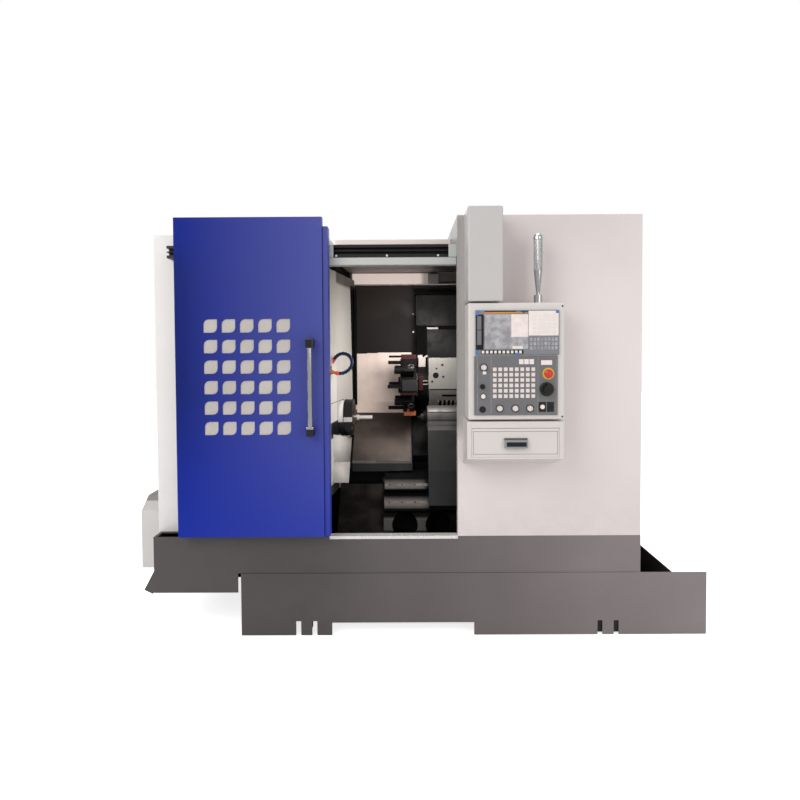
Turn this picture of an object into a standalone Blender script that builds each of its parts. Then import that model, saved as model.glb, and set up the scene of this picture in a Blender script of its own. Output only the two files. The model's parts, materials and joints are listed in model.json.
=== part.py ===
"""Slant-bed turning lathe, modelled in metres with +Z up and its front towards -Y.

Every sub-part is one object. Bodies that move hang from an empty on their joint's axis.
Heights are above the floor, depths are behind the base's front face, and places across
the front are measured from the middle of the whole machine.
"""

import math

import bmesh
import bpy
from mathutils import Matrix, Vector

# Clearances and common plate
GAP = 0.0003
OVERRUN = 0.010
OVERLAP = 0.002
SHEET = 0.003
ROOT_HALF = math.sqrt(0.5)

# Base
BASE_LEFT = -1.254
BASE_WIDTH = 2.435
BASE_DEPTH = 1.450
BASE_TOP = 0.502
BASE_HEIGHT = 0.282
BASE_WALL = 0.005
GUIDE_SLOT_DEPTH = 0.070
WELL_FRONT = 0.046
WELL_INSET = 0.130
WELL_BACK_INSET = 0.200
FLARE_REACH = 0.051
FLARE_HEIGHT = 0.105
FLARE_DROP = 0.010
FLARE_PLATE = 0.030
FLARE_LENGTH = 0.400

# Coolant tank
TANK_LEFT = -0.817
BASIN_OUT = 0.159
APRON_OUT = 0.329
TANK_DEPTH = 0.600
TANK_HEADROOM = 0.020
TANK_PROUD = 0.004
TANK_WALL = 0.004
TANK_GROUND = 0.004
TANK_FLOOR = 0.085
TANK_CLEARANCE = 0.016
NOTCH_LEFT = -0.362
NOTCH_WIDTH = 0.712
NOTCH_TOP = 0.067
ROLLER_RADIUS = 0.030
ROLLER_WIDTH = 0.030
ROLLER_BORE = 0.006
ROLLER_DEPTH = 0.060
ROLLER_EAR = 0.005
ROLLER_LEFT_INSET = 0.327
ROLLER_RIGHT_INSET = 0.320
SLOT_WIDTH = 0.025
SLOT_TONGUE = 0.056
SLOT_TOP = 0.075

# Enclosure
OPENING_LEFT = -0.384
OPENING_WIDTH = 0.654
LEFT_COVER_PROUD = 0.010
LEFT_COVER_FRONT = 0.088
LEFT_COVER_DROP = 0.028
LEFT_COVER_RETURN = 0.030
CABINET_RISE = 0.045
CABINET_RETURN = 0.058
SIDE_STRIP_RISE = 0.010
ROOF_FRONT = 0.430
ROOF_UNDER_DOOR = 0.028
ROOF_LIP = 0.023
HEADER_FRONT = 0.025
HEADER_HEIGHT = 0.039
HEADER_LAP = 0.026
TRACK_HEIGHT = 0.062
TRACK_GROOVE = 0.014
TRACK_GROOVE_DEPTH = 0.030
TRACK_LEFT_INSET = 0.090
TRACK_UNDER_DOOR = 0.121
SILL_DEPTH = 0.042
SILL_LIP = 0.012
LINING_CLEARANCE = 0.017
LINING_UNDER_AXIS = 0.040
LINING_DROP = 0.105
LINING_FALL = 0.040
LINING_FRONT = 0.095
LINING_RIGHT_INSET = 0.080
LIGHT_LENGTH = 0.516
LIGHT_LEFT = -0.350
LIGHT_HEIGHT = 0.070
LIGHT_DEPTH = 0.045
LIGHT_DROP = 0.012

# Side box over the spindle drive
MOTOR_COVER_WIDTH = 0.244
MOTOR_COVER_FRONT = 0.427
MOTOR_COVER_DEPTH = 0.720
MOTOR_COVER_LOW = 0.184
MOTOR_COVER_HEIGHT = 0.412
MOTOR_COVER_HIP_DROP = 0.083
MOTOR_COVER_HIP_SIDE = 0.024
MOTOR_COVER_HIP_FRONT = 0.045

# Slanted bed. Places on it are given by slope(down, out): down its face and square to it.
AXIS_DEPTH = 0.400
AXIS_RISE = 0.548
AXIS_OVER_BED = 0.230
BED_LEFT = -1.100
BED_RIGHT_INSET = 0.180
BED_UPPER_FACE = -0.028
BED_UPPER_TOP = -0.300
BED_UPPER_END = 0.125
BED_SHELF = 0.105
BED_LOWER_FACE = -0.045
BED_LOWER_LEFT = -0.110
BED_LOWER_END = 0.487
SLAB_DROP = 0.165
SLAB_THICK = 0.015
Z_WAY_WIDTH = 0.040
Z_WAYS = (-0.185, 0.095)
TAIL_WAYS = ((0.290, 0.034), (0.399, 0.048))
ARCH_RADIUS = 0.070
ARCH_DROP = 0.031
ARCH_PLACES = (0.005, 0.187)
ARCH_DEPTH = 0.120
FOOT_WIDTH = 0.300
FOOT_DEPTH = 0.240
FOOT_BACK_INSET = 0.080
FOOT_SIDE_INSET = 0.060
MIDDLE_FOOT_FRONT = 0.680
PAD_RADIUS = 0.055
PAD_HEIGHT = 0.035
PAN_DEPTH = 0.075
PAN_RIGHT_INSET = 0.090
PAN_LEFT_EDGE = -0.362
PAN_LAP = 0.060
PAN_SLOPE_UNDER_AXIS = 0.390
PAN_SLOPE_RUN = 0.195

# Headstock, spindle and chuck
HEADSTOCK_LEFT = -0.950
HEADSTOCK_FACE = -0.366
HEADSTOCK_UP = -0.280
HEADSTOCK_RISE = 0.200
HEADSTOCK_OVERHANG = 0.140
HEADSTOCK_DROP = 0.130
HEADSTOCK_SHOULDER = 0.070
SPINDLE_RADIUS = 0.060
SPINDLE_BORE = 0.026
SPINDLE_TAIL = 0.070
NOSE_RADIUS = 0.090
NOSE_LENGTH = 0.035
CHUCK_RADIUS = 0.1025
CHUCK_LENGTH = 0.050
CHUCK_BORE = 0.024
CHUCK_EDGE = 0.004
JAW_COUNT = 3
JAW_WIDTH = 0.026
JAW_SLOT = 0.012
JAW_OUTER = 0.097
JAW_STEP_OUTER = 0.072
JAW_TIP_OUTER = 0.044
JAW_STEP = 0.009
JAW_REACH = 0.018
BAR_RADIUS = 0.016
BAR_THIN_RADIUS = 0.0105
BAR_STEP = 0.030
BAR_END = 0.104
BAR_TAIL = 0.030
WALL_FLANGE = 0.030
WALL_MIDDLE_X = -0.300
WALL_BACK_X = -0.327
WALL_MIDDLE_DEPTH = 0.720
WALL_UNDER_AXIS = 0.380
WALL_HEADROOM = 0.090
WALL_HOLE = 0.104
WALL_BED_CLEARANCE = 0.004

# Telescopic cover, saddle, slides and turret
COVER_LEFT = -0.2965
COVER_LENGTH = 0.210
COVER_SHEET = 0.002
COVER_STEP = 0.0034
COVER_UP = -0.292
COVER_DOWN = 0.145
COVER_GUARD_RISE = 0.354
COVER_SKIRT = 0.055
SADDLE_LEFT = 0.050
SADDLE_LENGTH = 0.370
SADDLE_UP = -0.460
SADDLE_DOWN = 0.135
SADDLE_THICK = 0.050
SHELF_BEHIND_AXIS = 0.450
SHELF_DEPTH = 0.180
SHELF_THICK = 0.045
DRIVE_COVER_LEFT = 0.083
DRIVE_COVER_INSET = 0.020
DRIVE_COVER_HEADROOM = 0.167
DRIVE_COVER_STEP = 0.0635
DRIVE_COVER_STEP_DROP = 0.196
CROSS_LEFT = 0.100
CROSS_LENGTH = 0.280
CROSS_UP = -0.330
CROSS_DOWN = -0.150
CROSS_THICK = 0.051
TURRET_UP = 0.241
HOUSING_LEFT = 0.150
HOUSING_LENGTH = 0.250
HOUSING_HALF = 0.109
HOUSING_OUT = 0.362
HOUSING_CHAMFER = 0.040
NECK_RADIUS = 0.075
DISC_LEFT = -0.018
DISC_THICK = 0.095
DISC_FLAT = 0.104
STATIONS = 8
HOLDER_REACH = 0.052
HOLDER_WIDTH = 0.062
HOLDER_SIDE = 0.016
SHANK_SIZE = 0.020
SHANK_LENGTH = 0.072
SHANK_INSET = 0.012
BORING_RADIUS = 0.021
BORING_LENGTH = 0.034
HUB_RADIUS = 0.048
HUB_PROUD = 0.012

# Tailstock
TAIL_LEFT = 0.135
TAIL_LENGTH = 0.165
TAIL_HEAD_RADIUS = 0.065
TAIL_ARM_CLEARANCE = 0.060
TAIL_BASE_UP = 0.270
TAIL_BASE_DOWN = 0.455
TAIL_BASE_EDGE = 0.045
TAIL_SHOULDER_DOWN = 0.300
TAIL_SHOULDER_OUT = 0.140
QUILL_RADIUS = 0.035
QUILL_PROUD = 0.023
QUILL_TAIL = 0.020
CENTRE_SHANK = 0.012
CENTRE_SHANK_LENGTH = 0.050
CENTRE_HEAD = 0.022
CENTRE_HEAD_LENGTH = 0.012
CENTRE_CONE = 0.025

# Coolant hose
HOSE_RADIUS = 0.0065
HOSE_STUB = 0.010
HOSE_UPPER_DEPTH = 0.200
HOSE_LOWER_DEPTH = 0.130
HOSE_UPPER_RISE = 0.333
HOSE_LOWER_RISE = 0.265
HOSE_WIDTH = 0.098
HOSE_CROWN = 0.030
HOSE_POINTS = 16

# Door
DOOR_LEFT = -1.106
DOOR_WIDTH = 0.717
DOOR_OVER_BASE = 0.018
DOOR_HEIGHT = 1.558
DOOR_FRONT = -0.060
DOOR_DEPTH = 0.040
CHANNEL_WIDTH = 0.028
CHANNEL_FRONT = -0.052
CHANNEL_BACK = 0.012
CHANNEL_DROP = 0.044
HANGER_REACH = 0.098
HANGER_PLATE = 0.005
HANGER_INSET = 0.017
WINDOW_SHEET = 0.005
LEAF_WIDTH = 0.067
LEAF_HEIGHT = 0.0655
LEAF_ROUND = 0.025
LEAF_ARC_STEPS = 3
LEAF_COLUMNS = 5
LEAF_ROWS = 6
LEAF_PITCH_X = 0.0885
LEAF_PITCH_Z = 0.0998
LEAF_MIDDLE_X = 0.349
LEAF_MIDDLE_Z = 0.785
HANDLE_FROM_RIGHT = 0.058
HANDLE_OVER_DOOR = 0.500
HANDLE_LENGTH = 0.471
HANDLE_RADIUS = 0.012
HANDLE_END_HEIGHT = 0.048
HANDLE_END_WIDTH = 0.036
HANDLE_STAND_OFF = 0.050

# Control column, box and console
CONTROL_FRONT = -0.190
COLUMN_LEFT = 0.302
COLUMN_WIDTH = 0.163
COLUMN_RISE = 0.002
CONTROL_LEFT = 0.303
CONTROL_WIDTH = 0.448
CONTROL_LOW = 1.106
CONTROL_HEIGHT = 0.545
CONTROL_GAP = 0.007
CONTROL_BACK = -0.025
BEZEL = 0.010
PIVOT_INSET = 0.034
PIVOT_Y = -0.050
PIVOT_RADIUS = 0.015
CONTROL_ROUND = 0.008
DISPLAY_INSET_LEFT = 0.033
DISPLAY_WIDTH = 0.388
DISPLAY_DROP = 0.035
DISPLAY_HEIGHT = 0.207
SCREEN_LEFT = 0.014
SCREEN_WIDTH = 0.194
SCREEN_RECESS = 0.003
SCREEN_LOW = 0.050
SCREEN_HEIGHT = 0.130
PANEL_INSET_LEFT = 0.028
PANEL_WIDTH = 0.386
PANEL_LOW = 0.023
PANEL_HEIGHT = 0.275
PANEL_THICK = 0.0067
KEY_SIZE = 0.017
KEY_PROUD = 0.002
KEY_COLUMNS = 8
KEY_ROWS = 6
KEY_PITCH_X = 0.0255
KEY_PITCH_Z = 0.0249
KEY_FIRST_X = 0.094
KEY_FIRST_Z = 0.0888
KNOB_RADIUS = 0.014
KNOB_HEIGHT = 0.014
KNOB_RIDGE = 0.005
KNOB_RIDGE_HEIGHT = 0.006
BUTTON_RADIUS = 0.011
BUTTON_PROUD = 0.004
BUTTON_TRAVEL = 0.003
STOP_RADIUS = 0.020
STOP_STEM = 0.011
STOP_HEAD = 0.011
STOP_TRAVEL = 0.005
STOP_RING = 0.0275
STOP_RING_PROUD = 0.0015
WHEEL_RADIUS = 0.032
WHEEL_HEIGHT = 0.016
WHEEL_HUB = 0.021
WHEEL_PEG = 0.005
KEY_BARREL = 0.012
KEY_BLADE = 0.003
KEY_BLADE_WIDTH = 0.018
STOP_AT = (0.3424, 0.1925)
WHEEL_AT = (0.334, 0.1206)
MODE_AT = (0.0435, 0.2224)
KEY_AT = (0.0379, 0.1332)
WHITE_BUTTON_AT = (0.0407, 0.0879)
BLACK_BUTTON_AT = (0.0379, 0.0272)
OVERRIDE_AT = ((0.1173, 0.0314), (0.1897, 0.0314), (0.2574, 0.0314))
CONSOLE_OVERHANG = 0.007
CONSOLE_WIDTH = 0.451
CONSOLE_FRONT_HEIGHT = 0.175
CONSOLE_FALL = 0.057
DRAWER_INSET = 0.022
DRAWER_LOW = 0.0095
DRAWER_HEIGHT = 0.135
DRAWER_BACK = -0.020
DRAWER_WALL = 0.002
DRAWER_TRAY_SHARE = 0.85
DRAWER_FRONT_PLATE = 0.004
DRAWER_SIDE_GAP = 0.0008
PULL_WIDTH = 0.108
PULL_HEIGHT = 0.044
PULL_PROUD = 0.020
PULL_WALL = 0.003
PULL_STEPS = 6

# Signal lamp
LAMP_FROM_LEFT = 0.343
LAMP_FROM_BACK = 0.070
LAMP_FOOT_RADIUS = 0.020
LAMP_FOOT_HEIGHT = 0.040
LAMP_NECK_RADIUS = 0.0095
LAMP_NECK_HEIGHT = 0.012
LAMP_TUBE_RADIUS = 0.021
LAMP_CONE_HEIGHT = 0.105
LAMP_TUBE_HEIGHT = 0.148
LAMP_TUBE_WALL = 0.0025
LAMP_ROD_RADIUS = 0.007
LAMP_CAP_RADIUS = 0.022
LAMP_CAP_HEIGHT = 0.028

# Sides of round pieces
FINE_SIDES = 32
ROUND_SIDES = 24
SMALL_SIDES = 16
SHARP_ANGLE = math.radians(35)

# Places worked out from the sizes above
BASE_RIGHT = BASE_LEFT + BASE_WIDTH
BASE_LOW = BASE_TOP - BASE_HEIGHT
STAND = BASE_TOP + GAP
AXIS_HEIGHT = BASE_TOP + AXIS_RISE
DOOR_LOW = BASE_TOP + DOOR_OVER_BASE
DOOR_TOP = DOOR_LOW + DOOR_HEIGHT
TRACK_TOP = DOOR_TOP - TRACK_UNDER_DOOR
TRACK_LOW = TRACK_TOP - TRACK_HEIGHT
HEADER_TOP = TRACK_LOW - GAP
HEADER_LOW = HEADER_TOP - HEADER_HEIGHT
ROOF_TOP = DOOR_TOP - ROOF_UNDER_DOOR
LEFT_COVER_TOP = ROOF_TOP - LEFT_COVER_DROP
CABINET_TOP = ROOF_TOP + CABINET_RISE
COLUMN_TOP = CABINET_TOP + COLUMN_RISE
LINING_TOP = ROOF_TOP - LINING_DROP
LINING_LOW = AXIS_HEIGHT - LINING_UNDER_AXIS
SHELF_FRONT = AXIS_DEPTH + SHELF_BEHIND_AXIS
SHELF_BACK = SHELF_FRONT + SHELF_DEPTH
DRIVE_COVER_FRONT = SHELF_FRONT + DRIVE_COVER_INSET
LINING_BACK = SHELF_BACK + LINING_CLEARANCE
SIDE_STRIP_LOW = LINING_TOP + SIDE_STRIP_RISE
OPENING_RIGHT = OPENING_LEFT + OPENING_WIDTH
BASIN_RIGHT = BASE_RIGHT + BASIN_OUT
ROLLER_PLACES = (TANK_LEFT + ROLLER_LEFT_INSET, BASIN_RIGHT - ROLLER_RIGHT_INSET)
APRON_RIGHT = BASE_RIGHT + APRON_OUT
WALL_FRONT_X = OPENING_LEFT + GAP + SHEET / 2
WALL_FOLD_DEPTH = LEFT_COVER_FRONT + WALL_FLANGE
LEFT_COVER_LEFT = BASE_LEFT - LEFT_COVER_PROUD
MOTOR_COVER_RIGHT = LEFT_COVER_LEFT - GAP
MOTOR_COVER_LEFT = MOTOR_COVER_RIGHT - MOTOR_COVER_WIDTH
MOTOR_COVER_TOP = MOTOR_COVER_LOW + MOTOR_COVER_HEIGHT
MOTOR_COVER_SHOULDER = MOTOR_COVER_TOP - MOTOR_COVER_HIP_DROP
SLAB_LOW = BASE_TOP - SLAB_DROP
SLAB_TOP = SLAB_LOW + SLAB_THICK
TANK_TOP = SLAB_LOW - TANK_HEADROOM
BED_FOOT_DEPTH = AXIS_DEPTH + AXIS_OVER_BED * ROOT_HALF
BED_FOOT_HEIGHT = AXIS_HEIGHT - AXIS_OVER_BED * ROOT_HALF
BED_FRONT = BED_FOOT_DEPTH - (BED_LOWER_END + BED_LOWER_FACE) * ROOT_HALF
BED_FRONT_TOP = BED_FOOT_HEIGHT - (BED_LOWER_END - BED_LOWER_FACE) * ROOT_HALF
BED_RIGHT = BASE_RIGHT - BED_RIGHT_INSET
ARCH_HEIGHT = BED_FRONT_TOP - ARCH_DROP
PAN_BOTTOM = BASE_TOP - PAN_DEPTH
PAN_SLOPE_TOP = AXIS_HEIGHT - PAN_SLOPE_UNDER_AXIS
PAN_SLOPE_DEPTH = BED_FRONT + PAN_SLOPE_RUN
WALL_LOW = AXIS_HEIGHT - WALL_UNDER_AXIS
WALL_TOP = LINING_TOP - WALL_HEADROOM
COVER_GUARD_TOP = AXIS_HEIGHT + COVER_GUARD_RISE
DRIVE_COVER_TOP = LINING_TOP - DRIVE_COVER_HEADROOM
HOSE_UPPER_HEIGHT = AXIS_HEIGHT + HOSE_UPPER_RISE
HOSE_LOWER_HEIGHT = AXIS_HEIGHT + HOSE_LOWER_RISE
HANDLE_LOW = DOOR_LOW + HANDLE_OVER_DOOR
PIVOT_X = CONTROL_LEFT + PIVOT_INSET
CONSOLE_LEFT = CONTROL_LEFT - CONSOLE_OVERHANG
CHUCK_BACK = HEADSTOCK_FACE + GAP + NOSE_LENGTH + GAP
CHUCK_FACE = CHUCK_BACK + CHUCK_LENGTH
CONTROL_TOP = CONTROL_LOW + CONTROL_HEIGHT
CONTROL_SKIN = CONTROL_FRONT + BEZEL
CONSOLE_TOP = CONTROL_LOW - CONTROL_GAP
CONSOLE_FRONT_LOW = CONSOLE_TOP - CONSOLE_FRONT_HEIGHT
PANEL_LEFT = CONTROL_LEFT + PANEL_INSET_LEFT
PANEL_BASE = CONTROL_LOW + PANEL_LOW
PANEL_BACK = CONTROL_SKIN - GAP
PANEL_FACE = PANEL_BACK - PANEL_THICK
DOOR_RIGHT = DOOR_LEFT + DOOR_WIDTH
DOOR_BACK = DOOR_FRONT + DOOR_DEPTH
MIDDLE_X = (MOTOR_COVER_LEFT + APRON_RIGHT) / 2
FOREMOST = PANEL_FACE - GAP - WHEEL_HEIGHT - WHEEL_HEIGHT
MIDDLE_Y = (FOREMOST + BASE_DEPTH + GAP + SHEET) / 2

FINISHES = {
    "base_grey": ((0.115, 0.105, 0.098), 0.5, 0.0),
    "white_paint": ((0.78, 0.76, 0.73), 0.45, 0.0),
    "light_grey": ((0.62, 0.61, 0.59), 0.45, 0.0),
    "blue_paint": ((0.02, 0.03, 0.32), 0.3, 0.0),
    "bare_steel": ((0.62, 0.61, 0.59), 0.3, 1.0),
    "brown_steel": ((0.26, 0.21, 0.17), 0.35, 1.0),
    "cast_iron": ((0.12, 0.12, 0.12), 0.55, 0.6),
    "black": ((0.012, 0.012, 0.013), 0.45, 0.0),
    "dark_red": ((0.16, 0.02, 0.015), 0.45, 0.0),
    "chrome": ((0.85, 0.85, 0.86), 0.1, 1.0),
    "pane": ((0.62, 0.60, 0.55), 0.35, 0.0),
    "hose_blue": ((0.01, 0.03, 0.14), 0.4, 0.0),
    "panel_grey": ((0.18, 0.18, 0.18), 0.5, 0.0),
    "display_grey": ((0.42, 0.43, 0.44), 0.4, 0.0),
    "knob_white": ((0.75, 0.74, 0.70), 0.4, 0.0),
    "stop_red": ((0.65, 0.02, 0.015), 0.35, 0.0),
    "lamp_clear": ((0.80, 0.82, 0.82), 0.1, 0.0),
}


def slope(down, out):
    """Depth and height of a place on the slanted bed."""
    depth = BED_FOOT_DEPTH - (down + out) * ROOT_HALF
    height = BED_FOOT_HEIGHT - (down - out) * ROOT_HALF
    return (depth, height)


def clear_scene():
    for obj in list(bpy.data.objects):
        bpy.data.objects.remove(obj, do_unlink=True)


def new_collection(name, hidden):
    made = bpy.data.collections.new(name)
    made.hide_render = hidden
    bpy.context.scene.collection.children.link(made)
    return made


def new_material(name):
    colour, roughness, metallic = FINISHES[name]
    material = bpy.data.materials.new(name)
    material.use_nodes = True
    shader = material.node_tree.nodes["Principled BSDF"]
    shader.inputs["Base Color"].default_value = (*colour, 1.0)
    shader.inputs["Roughness"].default_value = roughness
    shader.inputs["Metallic"].default_value = metallic
    return material


clear_scene()
PARTS = new_collection("turning_lathe", hidden=False)
CUTTERS = new_collection("cutters", hidden=True)
MATERIALS = {name: new_material(name) for name in FINISHES}
BODY_PLACES = {}


def new_body(name, place, parent):
    """Empty on a joint's axis, which carries the pieces that move with it."""
    empty = bpy.data.objects.new(name, None)
    PARTS.objects.link(empty)
    BODY_PLACES[name] = Vector(place)
    if parent is None:
        empty.location = place
        return empty
    empty.parent = parent
    empty.location = Vector(place) - BODY_PLACES[parent.name]
    return empty


MACHINE = new_body("machine", (0, 0, 0), None)
MACHINE.location = (-MIDDLE_X, -MIDDLE_Y, 0)


def helper(name, mesh):
    """Wire object in the cutters' collection, until it is seated as a part."""
    obj = bpy.data.objects.new(name, mesh)
    CUTTERS.objects.link(obj)
    obj.parent = MACHINE
    obj.hide_render = True
    obj.display_type = "WIRE"
    return obj


def from_bmesh(name, shape):
    bmesh.ops.recalc_face_normals(shape, faces=shape.faces)
    mesh = bpy.data.meshes.new(name)
    shape.to_mesh(mesh)
    shape.free()
    return helper(name, mesh)


def block(name, low, high):
    shape = bmesh.new()
    bmesh.ops.create_cube(shape, size=1)
    size = Vector(high) - Vector(low)
    middle = (Vector(high) + Vector(low)) / 2
    bmesh.ops.scale(shape, vec=size, verts=shape.verts)
    bmesh.ops.translate(shape, vec=middle, verts=shape.verts)
    return from_bmesh(name, shape)


def drum(name, radius, start, end, sides=ROUND_SIDES, end_radius=None):
    """Cylinder or cone between two points."""
    start = Vector(start)
    end = Vector(end)
    along = end - start
    turn = along.to_track_quat("Z", "Y").to_matrix().to_4x4()
    place = Matrix.Translation((start + end) / 2) @ turn
    shape = bmesh.new()
    bmesh.ops.create_cone(
        shape,
        cap_ends=True,
        segments=sides,
        radius1=radius,
        radius2=radius if end_radius is None else end_radius,
        depth=along.length,
        matrix=place,
    )
    return from_bmesh(name, shape)


def baked(obj, matrix):
    """Helper holding the evaluated mesh of a curve or a modified object, which is removed."""
    bpy.context.view_layer.update()
    graph = bpy.context.evaluated_depsgraph_get()
    mesh = bpy.data.meshes.new_from_object(obj.evaluated_get(graph))
    name = obj.name
    bpy.data.objects.remove(obj, do_unlink=True)
    shape = bmesh.new()
    shape.from_mesh(mesh)
    bmesh.ops.remove_doubles(shape, verts=shape.verts, dist=GAP / 30)
    bmesh.ops.transform(shape, matrix=matrix, verts=shape.verts)
    bpy.data.meshes.remove(mesh)
    return from_bmesh(name, shape)


PLANES = {
    "YZ": (Vector((0, 1, 0)), Vector((0, 0, 1)), Vector((1, 0, 0))),
    "XZ": (Vector((1, 0, 0)), Vector((0, 0, 1)), Vector((0, -1, 0))),
    "XY": (Vector((1, 0, 0)), Vector((0, 1, 0)), Vector((0, 0, 1))),
}


def prism(name, loops, plane, start, end):
    """Flat outlines in a plane, thickened from start to end along the third axis."""
    curve = bpy.data.curves.new(name, "CURVE")
    curve.dimensions = "2D"
    curve.fill_mode = "BOTH"
    curve.extrude = abs(end - start) / 2
    for loop in loops:
        spline = curve.splines.new("POLY")
        spline.points.add(len(loop) - 1)
        for point, place in zip(spline.points, loop):
            point.co = (*place, 0, 1)
        spline.use_cyclic_u = True
    obj = bpy.data.objects.new(name, curve)
    CUTTERS.objects.link(obj)
    across, up, normal = PLANES[plane]
    turn = Matrix((across, up, normal)).transposed().to_4x4()
    third = Vector([abs(value) for value in normal])
    middle = Matrix.Translation(third * (start + end) / 2)
    return baked(obj, middle @ turn)


def folded(name, line, plane, start, end, thickness, side=-1):
    """Open polyline drawn out along the third axis and given a thickness with Solidify."""
    across, up, normal = PLANES[plane]
    third = Vector([abs(value) for value in normal])
    shape = bmesh.new()
    points = [shape.verts.new(across * u + up * v + third * start) for u, v in line]
    edges = [shape.edges.new(pair) for pair in zip(points, points[1:])]
    made = bmesh.ops.extrude_edge_only(shape, edges=edges)
    moved = [item for item in made["geom"] if isinstance(item, bmesh.types.BMVert)]
    bmesh.ops.translate(shape, vec=third * (end - start), verts=moved)
    mesh = bpy.data.meshes.new(name)
    shape.to_mesh(mesh)
    shape.free()
    return thickened(name, mesh, thickness, side)


def thickened(name, mesh, thickness, side):
    obj = bpy.data.objects.new(name, mesh)
    CUTTERS.objects.link(obj)
    solidify = obj.modifiers.new("thickness", "SOLIDIFY")
    solidify.thickness = thickness
    solidify.offset = side
    solidify.use_even_offset = True
    return baked(obj, Matrix.Identity(4))


def sheet_box(name, low, high, thickness, keep, splits=()):
    """Folded sheet box: the faces of a box that keep() accepts, thickened inwards."""
    shape = bmesh.new()
    bmesh.ops.create_cube(shape, size=1)
    bmesh.ops.scale(shape, vec=Vector(high) - Vector(low), verts=shape.verts)
    bmesh.ops.translate(shape, vec=(Vector(high) + Vector(low)) / 2, verts=shape.verts)
    for point, normal in splits:
        everything = shape.verts[:] + shape.edges[:] + shape.faces[:]
        bmesh.ops.bisect_plane(shape, geom=everything, plane_co=point, plane_no=normal)
    shape.normal_update()
    unwanted = [
        face for face in shape.faces if not keep(face.calc_center_median(), face.normal)
    ]
    bmesh.ops.delete(shape, geom=unwanted, context="FACES")
    mesh = bpy.data.meshes.new(name)
    shape.to_mesh(mesh)
    shape.free()
    return thickened(name, mesh, thickness, -1)


def turned(name, profile, start, axis, sides=ROUND_SIDES):
    """Profile of (radius, distance along the axis) points, turned with a Screw modifier."""
    mesh = bpy.data.meshes.new(name)
    count = len(profile)
    hollow = profile[0][0] > 0
    edges = [(i, i + 1) for i in range(count - 1)]
    if hollow:
        edges.append((count - 1, 0))
    mesh.from_pydata([(radius, 0, along) for radius, along in profile], edges, [])
    obj = bpy.data.objects.new(name, mesh)
    CUTTERS.objects.link(obj)
    screw = obj.modifiers.new("turning", "SCREW")
    screw.steps = sides
    screw.render_steps = sides
    screw.use_merge_vertices = True
    screw.merge_threshold = GAP / 10
    turn = Vector(axis).to_track_quat("Z", "Y").to_matrix().to_4x4()
    return baked(obj, Matrix.Translation(start) @ turn)


def tube(name, points, radius):
    curve = bpy.data.curves.new(name, "CURVE")
    curve.dimensions = "3D"
    curve.bevel_depth = radius
    curve.bevel_resolution = 2
    curve.use_fill_caps = True
    spline = curve.splines.new("POLY")
    spline.points.add(len(points) - 1)
    for point, place in zip(spline.points, points):
        point.co = (*place, 1)
    obj = bpy.data.objects.new(name, curve)
    CUTTERS.objects.link(obj)
    return baked(obj, Matrix.Identity(4))


def combine(target, others, operation):
    for other in others:
        modifier = target.modifiers.new(other.name, "BOOLEAN")
        modifier.operation = operation
        modifier.solver = "EXACT"
        modifier.object = other
    return target


def unite(target, *others):
    return combine(target, others, "UNION")


def carve(target, *cutters):
    return combine(target, cutters, "DIFFERENCE")


def soften(target, width, segments=2):
    bevel = target.modifiers.new("soft_edges", "BEVEL")
    bevel.width = width
    bevel.segments = segments
    bevel.limit_method = "ANGLE"
    bevel.harden_normals = False
    return target


def turned_about(obj, point, axis, angle):
    """Helper's mesh turned about an axis through a point."""
    place = Matrix.Translation(point)
    turn = Matrix.Rotation(angle, 4, Vector(axis))
    obj.data.transform(place @ turn @ place.inverted())
    return obj


def seat(obj, finish, body=MACHINE, origin=None):
    """Moves a helper among the parts, on its body, with its origin at the given place."""
    place = Vector(BODY_PLACES[body.name] if origin is None else origin)
    obj.data.transform(Matrix.Translation(-place))
    obj.parent = body
    obj.location = place - BODY_PLACES[body.name]
    CUTTERS.objects.unlink(obj)
    PARTS.objects.link(obj)
    obj.hide_render = False
    obj.display_type = "TEXTURED"
    obj.data.materials.clear()
    obj.data.materials.append(MATERIALS[finish])
    obj.data.shade_smooth()
    obj.data.set_sharp_from_angle(angle=SHARP_ANGLE)
    return obj


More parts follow.
